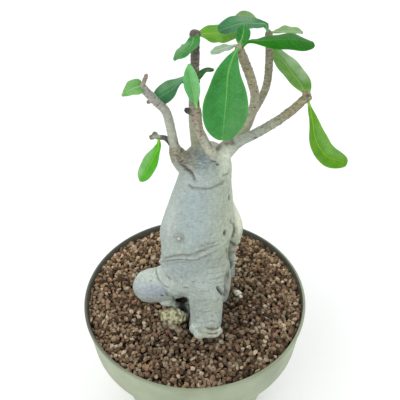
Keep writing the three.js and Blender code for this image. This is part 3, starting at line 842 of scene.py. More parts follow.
@dataclass
class Pot:
    """The collared round pot, turned from its wall's outline."""

    height: float = 126.0
    rim_radius: float = 85.0
    rim_lip: float = 0.7
    lip_height: float = 4.0
    collar_height: float = 34.0
    collar_low_radius: float = 82.0
    body_top_radius: float = 74.5
    foot_radius: float = 56.0
    wall: float = 1.8
    edge_round: float = 0.7
    corner_round: float = 0.8
    corner_points: int = 3
    flat_margin: float = 3.0
    segments: int = 240
    drain_holes: int = 6
    drain_radius: float = 4.5
    drain_ring_radius: float = 36.0
    drill_sides: int = 32
    drill_length: float = 10.0
    inner_margin: float = 0.05
    least_inward: float = -0.005
    finish: PotPlastic = PotPlastic()

    def outline(self) -> list[tuple[float, float]]:
        """Walks round the wall's outline.

        Returns:
            Its corners as radius and height, from the base's centre round to the floor's.
        """
        top, step, low = self.height, self.height - self.collar_height, self.height - self.lip_height
        foot, flat, body = self.foot_radius, self.foot_radius - self.flat_margin, self.body_top_radius
        collar, rim, lip = self.collar_low_radius, self.rim_radius, self.rim_lip
        wall, bend = self.wall, self.edge_round
        outer = [
            (0, 0), (flat, 0), (foot - 2 * bend, 0), (foot, 2 * bend), (body, step), (collar - bend, step),
            (collar, step + bend), (rim - lip, low), (rim, low + bend), (rim, top - bend), (rim - bend, top),
        ]
        inner = [
            (rim - wall, top), (rim - wall - lip, low), (collar - wall, step + wall),
            (body - wall, step + wall), (foot - wall, wall), (flat, wall), (0, wall),
        ]
        return outer + inner

    def build(self) -> Piece:
        """Turns the outline about the pot's axis, cuts the drain holes and marks the inside.

        Returns:
            The pot's shell.
        """
        outline = np.array([(radius, 0, height) for radius, height in self.outline()])
        made = mesh_object("pot_shell", outline, edges=[(i, i + 1) for i in range(len(outline) - 1)])
        tree = GrowthTree("pot_lathe")
        around = tree.count("Segments", self.segments)
        corner = tree.size("Corner Round", self.corner_round)
        curve = tree.out("GeometryNodeMeshToCurve", {0: tree.given})
        arcs = {"Curve": curve, "Radius": corner, "Limit Radius": True, "Count": self.corner_points}
        rounded = tree.out("GeometryNodeFilletCurve", arcs, mode="POLY")
        drilled = self._drilled(tree, self._turned(tree, rounded, around))
        marked = self._inner_marked(tree, tree.smooth_but_sharp(drilled))
        return tree.run(made, marked, self.finish.material())

    def _turned(self, tree: GrowthTree, curve: Socket, around: Socket) -> Socket:
        """Turns a curve in the XZ plane about the Z axis and closes the seam and the poles.

        Args:
            tree: The tree to add to.
            curve: The socket of the curve.
            around: The socket of the number of steps round the axis.

        Returns:
            The socket of the turned surface.
        """
        points = tree.add("GeometryNodeAttributeDomainSize", {"Geometry": curve}, component="CURVE")
        rows = points.outputs["Point Count"]
        columns = tree.maths("ADD", around, 1.0)
        grid = tree.out("GeometryNodeMeshGrid", {"Vertices X": rows, "Vertices Y": columns})
        index = tree.out("GeometryNodeInputIndex")
        row = tree.maths("FLOOR", tree.maths("DIVIDE", tree.maths("ADD", index, 0.5), columns))
        column = tree.maths("SUBTRACT", index, tree.product(row, columns))
        inputs = {"Geometry": curve, "Value": tree.position(), "Index": row}
        sample = tree.out("GeometryNodeSampleIndex", inputs, data_type="FLOAT_VECTOR", domain="POINT")
        radius, _, height = tree.split(sample)
        turn = tree.product(tree.maths("DIVIDE", column, around), -2 * math.pi)
        x = tree.product(radius, tree.maths("COSINE", turn))
        y = tree.product(radius, tree.maths("SINE", turn))
        place = tree.join(x, y, height)
        moved = tree.out("GeometryNodeSetPosition", {"Geometry": grid, "Position": place})
        return tree.out("GeometryNodeMergeByDistance", {0: moved, "Distance": MERGE_WITHIN * MM})

    def _drilled(self, tree: GrowthTree, shell: Socket) -> Socket:
        """Cuts a ring of drain holes through the floor.

        Args:
            tree: The tree to add to.
            shell: The socket of the closed pot.

        Returns:
            The socket of the drilled pot.
        """
        holes = tree.count("Drain Holes", self.drain_holes)
        radius = tree.size("Drain Radius", self.drain_radius)
        ring_radius = tree.size("Drain Ring Radius", self.drain_ring_radius)
        ring = tree.out("GeometryNodeMeshCircle", {"Vertices": holes, "Radius": ring_radius})
        inputs = {"Vertices": self.drill_sides, "Radius": radius, "Depth": self.drill_length * MM}
        drills = tree.realized(tree.copies(ring, tree.out("GeometryNodeMeshCylinder", inputs)))
        cut = {"Mesh 1": shell, "Mesh 2": drills}
        return tree.out("GeometryNodeMeshBoolean", cut, operation="DIFFERENCE")

    def _inner_marked(self, tree: GrowthTree, shell: Socket) -> Socket:
        """Marks the faces that look at the pot's axis, for the inside's painted shade and dirt.

        Args:
            tree: The tree to add to.
            shell: The socket of the pot.

        Returns:
            The socket of the marked pot.
        """
        inner_radius = tree.size("Rim Inner Radius", self.rim_radius - self.wall)
        level, radius = tree.from_axis()
        facing = tree.vector("DOT_PRODUCT", level, tree.out("GeometryNodeInputNormal"))
        inward = tree.maths("LESS_THAN", facing, self.least_inward)
        within = tree.maths("LESS_THAN", radius, tree.maths("SUBTRACT", inner_radius, self.inner_margin * MM))
        above_floor = tree.maths("GREATER_THAN", tree.split(tree.position())[2], 2 * self.wall * MM)
        return tree.keep(shell, "inner", tree.product(inward, within, above_floor))


@dataclass
class GritBed:
    """The bed of loose grains: a floor of grit, kept dark by painted shade deep between the grains, with
    layers of grains strewn on it.
    """

    plain: str = "grit"
    top_above: float = 115.0
    sunk: float = 3.0
    strewn_above: float = 114.2
    steepest: float = 0.5
    wall_radius: float = 82.0
    mound_from: float = 56.0
    mound_rise: tuple[float, float] = (-60.0, 20.0)
    front_mound: float = 0.8
    rear_mound: float = 2.6
    grain_radius: float = 1.8
    grain_segments: int = 7
    grain_rings: int = 5
    grain_bump: float = 1.3
    least_scale: Point = (0.5, 0.45, 0.4)
    most_scale: Point = (1.55, 1.25, 0.95)
    most_turn: Point = (0.9, 0.9, 3.1)
    spacing: float = 2.8
    unevenness: float = 1.2
    most_per_square_metre: float = 500_000.0
    tone_seed: int = 5
    layers: tuple[tuple[str, float, int], ...] = (
        ("grit_floor", 0.5, 3),
        ("grit_middle", 1.7, 11),
        ("grit_top", 2.7, 29),
    )
    finish: VolcanicGrit = VolcanicGrit()

    def build(self) -> list[Piece]:
        """Makes one piece for each layer of grains, the lowest with the bed itself.

        Returns:
            The pieces, lowest first.
        """
        finish = self.finish.material()
        pieces = []
        for name, lift, seed in self.layers:
            made = self._bed(name)
            tree = GrowthTree(name + "_grains")
            grains = self._grains(tree, lift, seed)
            if not pieces:
                both = tree.add("GeometryNodeJoinGeometry", {0: grains})
                tree.give(both.inputs[0], tree.given)
                grains = both.outputs[0]
            pieces.append(tree.run(made, grains, finish))
        return pieces

    def mound(self, points: Array) -> Array:
        """How high the grit is heaped against the wall, most at the rear.

        Args:
            points: Places on the bed, in millimetres.

        Returns:
            The height at each place, in millimetres.
        """
        near_wall = smoothstep(np.hypot(points[:, 0], points[:, 1]), self.mound_from, self.wall_radius)
        rear = smoothstep(points[:, 1], *self.mound_rise)
        return near_wall * (self.front_mound + (self.rear_mound - self.front_mound) * rear)

    def _bed(self, name: str) -> Piece:
        """A merged copy of the CAD bed with its top lowered to lie under the grains.

        Args:
            name: The copy's name.

        Returns:
            The bed.
        """
        made = merged_copy(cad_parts[self.plain], name)
        points = vertices_of(made)
        on_top = points[:, 2] > self.top_above
        points[on_top, 2] += self.mound(points[on_top]) - self.sunk
        set_vertices(made, points)
        set_attribute(made, "tone", np.zeros(len(points)))
        return made

    def _grains(self, tree: GrowthTree, lift: float, seed: int) -> Socket:
        """Strews grains over the bed's top.

        Args:
            tree: The tree to add to.
            lift: How high the grains' centres lie above the bed, in millimetres.
            seed: Picks where the grains lie.

        Returns:
            The socket of the grains.
        """
        spacing = tree.size("Grain Spacing", self.spacing)
        radius = tree.size("Grain Radius", self.grain_radius)
        height = tree.size("Lift", lift)
        draw = tree.count("Seed", seed)
        high = tree.maths("GREATER_THAN", tree.split(tree.position())[2], self.strewn_above * MM)
        upward = tree.split(tree.out("GeometryNodeInputNormal"))[2]
        chosen = tree.product(high, tree.maths("GREATER_THAN", upward, self.steepest))
        inputs = {"Mesh": tree.given, "Selection": chosen, "Distance Min": spacing, "Seed": draw,
                  "Density Max": self.most_per_square_metre}
        strewn = tree.out("GeometryNodeDistributePointsOnFaces", inputs, distribute_method="POISSON")
        rise = tree.maths("ADD", height, tree.product(tree.chance(draw), self.unevenness * MM))
        lifted = tree.out("GeometryNodeSetPosition", {"Geometry": strewn, "Offset": tree.join(0, 0, rise)})
        inputs = {"Segments": self.grain_segments, "Rings": self.grain_rings, "Radius": radius}
        grain = tree.out("GeometryNodeMeshUVSphere", inputs)
        stone = tree.out("GeometryNodeSetShadeSmooth", {"Geometry": grain, "Shade Smooth": False})
        turn = tree.chances(tuple(-angle for angle in self.most_turn), self.most_turn, draw)
        scale = tree.chances(self.least_scale, self.most_scale, draw)
        laid = tree.copies(lifted, stone, Rotation=turn, Scale=scale)
        tone = tree.chance(tree.maths("ADD", draw, self.tone_seed))
        real = tree.realized(tree.keep(laid, "tone", tone, "INSTANCE"))
        return self._inside_wall(tree, tree.roughened(real, self.grain_bump, self.grain_bump))

    def _inside_wall(self, tree: GrowthTree, grains: Socket) -> Socket:
        """Presses the grains that reach into the pot's wall flat against it.

        Args:
            tree: The tree to add to.
            grains: The socket of the grains.

        Returns:
            The socket of the grains inside the wall.
        """
        wall = tree.size("Wall Radius", self.wall_radius)
        share = tree.maths("MINIMUM", tree.maths("DIVIDE", wall, tree.from_axis()[1]), 1.0)
        inside = tree.vector("MULTIPLY", tree.position(), tree.join(share, share, 1.0))
        return tree.out("GeometryNodeSetPosition", {"Geometry": grains, "Position": inside})


@dataclass(frozen=True)
class Branch:
    """A branch's centre line from the crown to the tip, as x, y, z and diameter, with its colours."""

    at: tuple[tuple[float, float, float, float], ...]
    low: Colour
    high: Colour
    scars: int = 0
    scars_from: float = 0.5

    def line(self, count: int) -> Array:
        """The centre line with its diameters at even shares.

        Args:
            count: How many places.

        Returns:
            One row of x, y, z and diameter for each place.
        """
        return along_table(np.array(self.at, float), np.linspace(0, 1, count))


BRANCHES = {
    "shoulder": Branch(
        ((4, -2, 238, 20), (-4, -3, 246, 16), (-9, -4.5, 252.5, 11), (-11.5, -5.5, 260, 6.4)),
        (156, 156, 138), (150, 144, 120),
    ),
    "left": Branch(
        ((-8, -4, 250, 7), (-11.5, -5.6, 262, 5.4), (-14, -8, 280, 5), (-16, -10, 288, 4.8),
         (-20, -12, 293.5, 4.6), (-27.2, -15, 304, 4)), (170, 172, 156), (164, 162, 152), 6, 0.5,
    ),
    "left_bud": Branch(((-22, -12.6, 296, 2.6), (-24.6, -12, 293.6, 2.2)), (130, 118, 100), (112, 94, 78)),
    "left_stalk": Branch(
        ((-27, -14.8, 304.6, 2.4), (-24.4, -14, 310.4, 1.9)), (150, 140, 110), (134, 110, 88),
    ),
    "left_twig": Branch(
        ((-11.5, -5.4, 259, 3.4), (-16, -5.6, 266.4, 3), (-21, -6.6, 268, 2.6)), (64, 60, 58), (84, 78, 66),
    ),
    "inner_tall": Branch(
        ((4, 2, 243, 11), (2, 4.5, 251.7, 6.6), (0.4, 6, 262, 5.2), (-0.4, 8, 274, 5), (0, 12, 288, 5),
         (1, 16, 306, 5), (1, 18, 321, 5)), (172, 172, 146), (92, 80, 78), 20, 0.35,
    ),
    "front_short": Branch(
        ((12, -2, 243, 13), (12, -4, 252, 9), (9, -7, 261, 6), (5.5, -9, 269, 5.2), (3, -11, 277, 4.8),
         (2.3, -12, 288.6, 4.6)), (188, 192, 174), (154, 138, 116), 14, 0.6,
    ),
    "front_stub": Branch(((2.4, -12, 285.8, 3.4), (-3.6, -12, 288.6, 3)), (104, 88, 82), (58, 48, 54)),
    "centre": Branch(
        ((13, -1, 246, 12), (17, -1.4, 255, 9), (24, 0, 261.5, 6.6), (30, 1, 267, 5.8), (34, 2, 277, 5.4),
         (35.8, 1, 289, 5), (33.6, -1, 299, 4.8), (29.2, -6, 311.5, 4.8), (24.2, -11, 323.6, 4.6)),
        (172, 168, 142), (158, 146, 118), 26, 0.45,
    ),
    "centre_fork": Branch(
        ((33.6, 2, 277, 4.8), (39, 6, 285, 4.4), (43, 10.5, 292.5, 4.3), (44.2, 15, 304, 4.2),
         (42.8, 17, 321.4, 4)), (150, 144, 112), (122, 116, 86), 22, 0.2,
    ),
    "right": Branch(
        ((13, -2, 246, 13), (21, -3.4, 256, 8), (27, -5, 263.6, 6), (35, -6, 269, 5.6),
         (42.4, -7, 274.5, 5.3), (50, -8, 280.8, 5), (57.2, -8, 287.5, 4.8), (63.8, -6.2, 293.6, 4.6)),
        (162, 170, 154), (142, 134, 98), 20, 0.45,
    ),
}


@dataclass(frozen=True)
class Crease:
    """A line pressed into the skin, placed by its pixels in the photograph."""

    pixels: tuple[Pixel, ...]
    width: float = 0.8
    depth: float = 0.7
    # How strongly the colour darkens the groove, partly as its own colour and partly as painted shade.
    stain: float = 0.6
    colour: Colour = (98, 90, 74)
    lip: float = 0.1


@dataclass(frozen=True)
class Mark:
    """A round mark on the skin: a pit, a knob, a patch of another colour, or painted light and shade."""

    pixel: Pixel
    radius: float
    depth: float = 0.0
    colour: Colour = (96, 88, 74)
    share: float = 0.8
    stretch: tuple[float, float] = (1.0, 1.0)


@dataclass(frozen=True)
class Knob:
    """A lump that grows out of the wood, at a place or behind a pixel of the photograph."""

    at: Point | Pixel
    size: Point
    sunk: float = 1.5

    def centre(self, tree: BVHTree, view: View) -> Array | None:
        """Finds the middle of the lump.

        Args:
            tree: The plant's surface without its knobs.
            view: The camera.

        Returns:
            Its x, y and z, or None where the pixel lies beside the plant.
        """
        if len(self.at) == 3:
            return np.array(self.at, float)
        ray = view.ray(self.at)
        hit = tree.ray_cast(Vector(view.place), ray)[0]
        return None if hit is None else np.array(hit + ray * self.sunk)


# Near-black painted shade for the deepest creases and holes.
HOLE_SHADE = (38, 36, 30)

CREASES = (
    Crease(
        ((162.6, 259.2), (168, 257.4), (175.7, 255.8), (184, 255), (191.8, 254.9), (204.4, 250.6),
         (220, 244)), 0.75, 0.8, 0.7,
    ),
    Crease(
        ((160, 262.2), (170, 261), (179.2, 260), (191.8, 260.3), (204.4, 256.8), (217, 251.4)),
        0.85, 0.9, 0.75,
    ),
    Crease(((196, 252.6), (205, 248.6), (214, 244.6)), 0.7, 0.4, 0.45),
    Crease(
        ((188.2, 184), (191.8, 187.4), (199, 188.6), (209.8, 188.6), (220.5, 185), (224.4, 182)),
        0.85, 0.8, 0.75,
    ),
    Crease(((214, 186.4), (219, 184.2), (224.6, 180.6)), 0.6, 0.4, 0.5),
    Crease(((222.6, 175.6), (226, 174.4), (229, 173)), 0.7, 0.5, 0.6),
    Crease(
        ((178.5, 161.4), (181, 164.4), (184, 167.4), (188, 170.4), (191.8, 173.6), (193.6, 177),
         (194.8, 181)), 1.0, 0.8, 0.95, (78, 70, 56),
    ),
    Crease(((184, 165), (187.6, 169.8), (191.4, 172)), 1.1, 0.5, 0.9, (70, 62, 50)),
    Crease(
        ((156.6, 265), (156, 270), (157.3, 277), (159.6, 281), (162.3, 284.3), (165.4, 287), (169, 288.4)),
        0.75, 0.8, 0.65,
    ),
    Crease(((217.4, 287), (219.4, 290.4), (222, 293.6), (224.6, 296.8)), 1.25, 1.9, 1.0, HOLE_SHADE),
    Crease(
        ((206.6, 327.6), (208.4, 329), (212, 329.2), (217, 328.4), (218.6, 326.4)),
        0.8, 0.9, 0.9, (74, 66, 50),
    ),
    Crease(((207, 322.6), (211, 321.4), (216, 322)), 0.6, 0.4, 0.5),
    Crease(((207, 332.4), (212, 333.2), (218.6, 332.6)), 0.9, 1.0, 0.95, (66, 58, 44)),
    Crease(
        ((230.4, 220.6), (231.4, 222.6), (233.4, 225), (234.4, 228.6), (233.4, 233.6), (231.8, 239.6)),
        0.8, 1.0, 0.85, (84, 78, 58),
    ),
    Crease(((229, 241), (231.4, 243.4), (234.4, 245.6), (237, 246)), 1.3, 1.2, 0.9, (70, 62, 46)),
    Crease(
        ((228.6, 245), (226.8, 248), (227.2, 253), (227.6, 257), (229, 261)), 1.1, 1.3, 0.85, (84, 80, 64),
    ),
    Crease(((229.4, 262.6), (230.6, 266), (230, 270), (229.2, 274), (229.6, 279)), 1.7, 1.9, 1.0, HOLE_SHADE),
    Crease(((236.6, 226), (237.4, 232), (236.8, 238)), 0.6, 0.4, 0.45),
    Crease(((232.6, 214), (234, 218), (234.6, 221)), 0.6, 0.3, 0.4),
    Crease(((206, 262), (213, 261.4), (222, 258)), 0.6, 0.3, 0.35),
    Crease(((208, 268.6), (216, 268), (225, 265)), 0.65, 0.35, 0.4),
    Crease(((206, 274), (215, 274), (225.6, 270.6)), 0.6, 0.3, 0.35),
    Crease(((209, 279.6), (216, 279), (225, 275.6)), 0.65, 0.35, 0.4),
    Crease(((212, 284.6), (219, 283.4), (226, 281)), 0.6, 0.3, 0.35),
    Crease(((222, 286), (224.6, 289), (226.4, 293.6)), 0.6, 0.4, 0.5),
    Crease(
        ((173.4, 237), (175, 234.8), (179, 233.6), (183, 235), (184.4, 238.6), (182, 242), (178, 243.2),
         (174.6, 241.6)), 0.5, 0.3, 0.5,
    ),
    Crease(((165.4, 293.4), (168, 296.4), (171.4, 297)), 0.8, 0.8, 0.85, (58, 54, 46)),
    Crease(((172.6, 296.4), (174.4, 300.4)), 0.7, 0.7, 0.8, (58, 54, 46)),
    Crease(((171.6, 151), (175, 154.6), (178.4, 157.4), (180.6, 160)), 0.9, 0.5, 0.8, (86, 76, 60)),
    Crease(((176.6, 141), (180.4, 145), (181.8, 149.6), (180.6, 155)), 0.8, 0.6, 0.85, (84, 74, 60)),
    Crease(((183, 137.4), (186.4, 141), (190, 146), (194, 152)), 0.8, 0.5, 0.7),
    Crease(((208.4, 158.6), (212, 160.4), (217, 162.6)), 0.7, 0.6, 0.9, (92, 78, 68)),
    Crease(((216, 164.4), (219.6, 164.8)), 0.7, 0.9, 1.0, HOLE_SHADE),
    Crease(
        ((176, 238.8), (177, 236.9), (179, 236.3), (181, 237.6), (181.2, 240), (179.2, 241.4),
         (176.8, 240.8), (176, 238.8)), 0.5, 0.45, 0.85,
    ),
    Crease(((181, 235.2), (183.2, 237.6), (183.4, 241)), 0.5, 0.25, 0.45),
    Crease(((199, 292), (203, 291.4), (207, 292.6)), 0.55, 0.25, 0.35),
    Crease(((196, 300), (203, 301), (209, 299.6)), 0.55, 0.25, 0.3),
    Crease(((197, 311), (204, 312.4), (211, 311)), 0.6, 0.3, 0.35),
    Crease(((193, 320), (198, 323), (204, 323.6)), 0.6, 0.35, 0.4),
)

# Small marks of the skin's own colour, and painted shade: the near-black pits at (225.1, 233), (229.6, 197.4)
# and (162, 296), and the dark marks in the crown's notches and gaps at (217.6, 146.6), (211, 143.6), (231,
# 141.6) and (226, 143.6), are painted shade.
MARKS_AND_PAINTED_SHADE = (
    Mark((178.6, 238.8), 1.0, -0.3, (206, 210, 198), 0.7),
    Mark((174.8, 237.4), 0.8, 0.4, (102, 94, 78), 0.85),
    Mark((182.4, 238.6), 0.8, 0.4, (108, 100, 84), 0.85),
    Mark((177, 241.2), 0.6, 0.2, (112, 104, 88), 0.7),
    Mark((225.1, 233), 1.9, 1.4, (34, 34, 28), 1.0, (0.8, 1.3)),
    Mark((229.6, 197.4), 1.4, 0.9, (44, 44, 34), 1.0, (0.8, 1.7)),
    Mark((223.2, 207.3), 0.5, 0.3, (84, 82, 64), 0.9),
    Mark((210.8, 234.6), 1.0, 0.3, (122, 124, 118), 0.8),
    Mark((202.6, 245.9), 1.1, 0.4, (98, 84, 72), 0.9, (1.6, 0.6)),
    Mark((208, 244.1), 1.1, 0.4, (112, 100, 92), 0.8, (1.3, 0.7)),
    Mark((213.4, 243), 1.2, 0.4, (98, 86, 78), 0.9, (1.6, 0.6)),
    Mark((218, 240.4), 0.7, 0.3, (116, 104, 92), 0.7, (1.4, 0.7)),
    Mark((169, 278), 1.7, 0.35, (98, 98, 96), 0.85, (1.9, 0.45)),
    Mark((181, 277), 0.8, 0.4, (96, 98, 98), 0.85),
    Mark((192.8, 281.8), 1.0, 0.4, (104, 106, 104), 0.8, (1.2, 0.7)),
    Mark((186, 287.6), 1.3, 0.5, (84, 86, 88), 0.9, (1.6, 0.55)),
    Mark((193.4, 283.8), 0.6, 0.3, (108, 108, 104), 0.7),
    Mark((151, 280.6), 1.1, 0.4, (112, 114, 112), 0.85, (0.7, 1.3)),
    Mark((152.6, 277.6), 0.6, 0.2, (124, 124, 120), 0.7),
    Mark((162, 296), 1.1, 0.9, (28, 30, 36), 1.0, (1.4, 0.8)),
    Mark((212.4, 157.4), 1.6, -0.5, (186, 186, 164), 0.5),
    Mark((208, 158), 1.0, -0.3, (128, 102, 94), 0.85),
    Mark((217.6, 146.6), 2.6, 0.8, (92, 98, 106), 0.8, (1.3, 0.7)),
    Mark((211, 143.6), 2.6, 0.3, (92, 100, 102), 0.7, (1, 1.3)),
    Mark((231, 141.6), 2.4, 0.5, (66, 54, 44), 0.85, (1.8, 0.6)),
    Mark((226, 143.6), 1.6, 0.3, (84, 74, 60), 0.8, (1.4, 0.7)),
    Mark((174, 152.6), 1.6, -0.6, (158, 146, 116), 0.6),
    Mark((177.4, 157.6), 1.3, -0.4, (84, 74, 58), 0.8),
    Mark((182.4, 161.4), 1.2, 0.3, (72, 64, 52), 0.85),
    Mark((186.4, 163), 1.2, 0.3, (96, 86, 68), 0.7),
    Mark((256, 138), 1.3, 0.1, (54, 46, 44), 0.9, (1.5, 0.7)),
    Mark((232.6, 249.4), 1.7, -0.5, (188, 180, 166), 0.7),
    Mark((233.6, 259), 2.2, -0.7, (196, 198, 172), 0.75),
    Mark((228, 243), 1.0, 0.5, (72, 66, 48), 0.8),
    Mark((235.6, 254.6), 1.0, 0.6, (70, 60, 46), 0.85),
    Mark((233, 237), 0.8, 0.5, (92, 88, 66), 0.8),
    Mark((222.6, 272), 0.7, 0.3, (110, 108, 92), 0.7),
    Mark((199.6, 263), 0.6, 0.2, (116, 112, 100), 0.6),
    Mark((190.6, 270.6), 0.6, 0.2, (112, 112, 106), 0.6),
    Mark((203, 283), 0.7, 0.2, (112, 110, 100), 0.6, (1.4, 0.7)),
    Mark((193, 296.6), 0.8, 0.3, (108, 104, 92), 0.6, (1.3, 0.7)),
    Mark((205.4, 305), 0.9, 0.3, (104, 98, 84), 0.6, (1.4, 0.6)),
    Mark((194.6, 307), 0.7, 0.2, (108, 104, 92), 0.6),
    Mark((212.6, 316), 0.8, 0.3, (106, 98, 80), 0.6, (1.3, 0.6)),
    Mark((198.4, 317.6), 0.9, 0.3, (112, 104, 86), 0.6),
    Mark((308.6, 97), 1.7, 0.1, (62, 52, 46), 0.9),
    Mark((304, 101), 1.8, 0.0, (138, 134, 74), 0.8),
    Mark((305.6, 105), 1.2, 0.0, (120, 122, 62), 0.8),
    Mark((158, 134.4), 1.9, 0.0, (176, 188, 156), 0.9),
    Mark((154.6, 137.4), 1.6, 0.0, (168, 182, 150), 0.9),
    Mark((213.6, 151.6), 0.8, 0.4, (120, 106, 86), 0.7),
)

# Patches of the skin's own colour, and of painted light: the blue-grey patches at the crown, (203, 161) and
# (198, 160), and under the toe, (146, 292) and (160, 291), are painted shade; those in the middle of the
# trunk, (197, 200) and (190, 228), are partly painted shade over its own blue-grey; the pale patches at (170,
# 215), (225, 160), (143, 276), (238, 212), (239, 226) and (215, 306) are painted highlights on edges and
# tops; the near-black ones at (181, 299), (181.6, 303.4), (186.2, 309.6) and (182, 306.8) are painted shadow
# in the cave under the toe.
PATCHES_AND_PAINTED_LIGHT = (
    Mark((203, 161), 8.5, 0.0, (88, 108, 114), 0.85, (1.5, 0.8)),
    Mark((198, 160), 4.5, 0.0, (96, 112, 128), 0.5, (1.3, 0.8)),
    Mark((213, 168), 6.0, 0.0, (132, 148, 146), 0.5, (1.3, 0.8)),
    Mark((189, 161), 7.0, 0.0, (124, 120, 100), 0.7, (0.9, 1.1)),
    Mark((181, 150), 7.0, 0.0, (146, 140, 114), 0.7, (0.7, 1.2)),
    Mark((212, 150.4), 5.5, 0.0, (200, 196, 162), 0.8, (1.2, 0.7)),
    Mark((225, 160), 7.0, 0.0, (222, 228, 204), 0.75, (0.9, 1.3)),
    Mark((170, 215), 9.0, 0.0, (182, 194, 188), 0.5, (0.7, 1.8)),
    Mark((197, 200), 13.0, 0.0, (154, 170, 176), 0.6, (0.8, 1.4)),
    Mark((190, 228), 12.0, 0.0, (150, 168, 172), 0.55, (0.8, 1.5)),
    Mark((214, 210), 9.0, 0.0, (160, 172, 156), 0.4, (0.8, 1.6)),
    Mark((176, 268), 10.0, 0.0, (150, 168, 176), 0.5, (1.2, 1)),
    Mark((194, 272), 9.0, 0.0, (156, 172, 168), 0.5, (1, 1.2)),
    Mark((143, 276), 8.0, 0.0, (192, 204, 192), 0.6, (1.3, 0.6)),
    Mark((146, 292), 8.0, 0.0, (156, 164, 182), 0.6, (1.5, 0.8)),
    Mark((160, 291), 6.0, 0.0, (140, 152, 176), 0.6, (1.4, 0.8)),
    Mark((200, 306), 10.0, 0.0, (138, 150, 142), 0.6, (0.9, 1.5)),
    Mark((215, 306), 5.0, 0.0, (176, 186, 158), 0.6, (0.7, 2)),
    Mark((190, 316), 4.0, 0.0, (172, 178, 164), 0.5, (0.7, 1.8)),
    Mark((232, 250), 8.0, 0.0, (140, 136, 108), 0.55, (0.7, 1.7)),
    Mark((228, 275), 6.0, 0.0, (92, 88, 70), 0.6, (0.8, 1.3)),
    Mark((238, 212), 9.0, 0.0, (236, 240, 214), 0.85, (0.7, 2.2)),
    Mark((239, 226), 6.0, 0.0, (236, 240, 214), 0.75, (0.6, 2)),
    Mark((224, 289), 5.0, 0.0, (132, 130, 108), 0.65, (0.9, 1.3)),
    Mark((207, 334), 6.0, 0.0, (168, 164, 138), 0.6, (1.4, 0.6)),
    Mark((213, 331), 3.5, 0.0, (192, 190, 164), 0.7, (1.6, 0.5)),
    Mark((181, 299), 3.6, 0.0, (52, 48, 42), 0.9, (1.4, 0.7)),
    Mark((172.5, 300.5), 3.0, 0.0, (168, 176, 160), 0.7, (1.5, 0.8)),
    Mark((181.6, 303.4), 3.4, 1.2, (16, 15, 12), 1.0, (1.7, 0.8)),
    Mark((186.2, 309.6), 3.6, 1.0, (18, 17, 13), 1.0, (0.9, 1.9)),
    Mark((182, 306.8), 2.6, 0.6, (20, 19, 15), 1.0, (1.6, 0.8)),
    Mark((176, 292), 5.0, 0.0, (168, 184, 180), 0.5, (1.3, 0.7)),
)

KNOBS = (
    Knob((-23.6, -8.6, 122), (3.4, 3, 2.6)),
    Knob((-19.4, -9.6, 122.4), (3.2, 3, 3)),
    Knob((-15, -10, 121.6), (3, 2.8, 2.6)),
    Knob((-10.6, -10.8, 121.6), (3.2, 2.8, 2.8)),
    Knob((-7, -12.4, 120.8), (2.8, 3, 3)),
    Knob((-17, -7.4, 126), (2.8, 2.6, 2.8)),
    Knob((11.5, -38, 120.8), (6.6, 2.8, 2.5)),
    Knob((3.4, -38.4, 120.8), (4.4, 2.8, 3.2)),
    Knob((17, -34, 121), (3.4, 4, 2.4)),
    Knob((0, -33.4, 122.4), (4.2, 3.8, 5.6)),
    Knob((-22.4, -20.8, 120.4), (3.6, 5, 3.6)),
    Knob((-9, -17.6, 119.8), (3.4, 4.6, 3.4)),
    Knob((224, 289), (3.4, 3, 5.6), 2.0),
    Knob((233, 249), (2.6, 2.4, 2.6), 1.0),
    Knob((233.4, 259), (3.4, 2.6, 2.8), 0.8),
    Knob((237, 241), (2.4, 2.4, 3.4), 1.6),
    Knob((236, 229), (2.4, 2.4, 4.6), 1.6),
    Knob((174, 153), (2.8, 2.6, 3.2), 1.6),
    Knob((178, 159), (2.6, 2.6, 2.4), 1.6),
    Knob((209, 158), (2.4, 2.2, 2), 1.2),
    Knob((1, 18, 320.6), (3.1, 3, 2.6)),
    Knob((64.4, -5.8, 295.2), (1.7, 1.5, 1.6)),
    Knob((65.4, -6.6, 293.4), (1.3, 1.3, 1.3)),
    Knob((62.4, -6.2, 296.2), (1.2, 1.2, 1.7)),
    Knob((-22.6, -6.8, 269.4), (1.6, 1.5, 2.2)),
    Knob((-24.4, -7.2, 268.2), (1.8, 1.3, 1.3)),
)

CRUMBS = (
    Knob((-16, -30, 119.4), (3.4, 2.8, 2.4)),
    Knob((-11.4, -32.6, 119.2), (3, 2.6, 2.2)),
    Knob((-21.6, -26.8, 119.2), (2.8, 2.4, 2.2)),
)


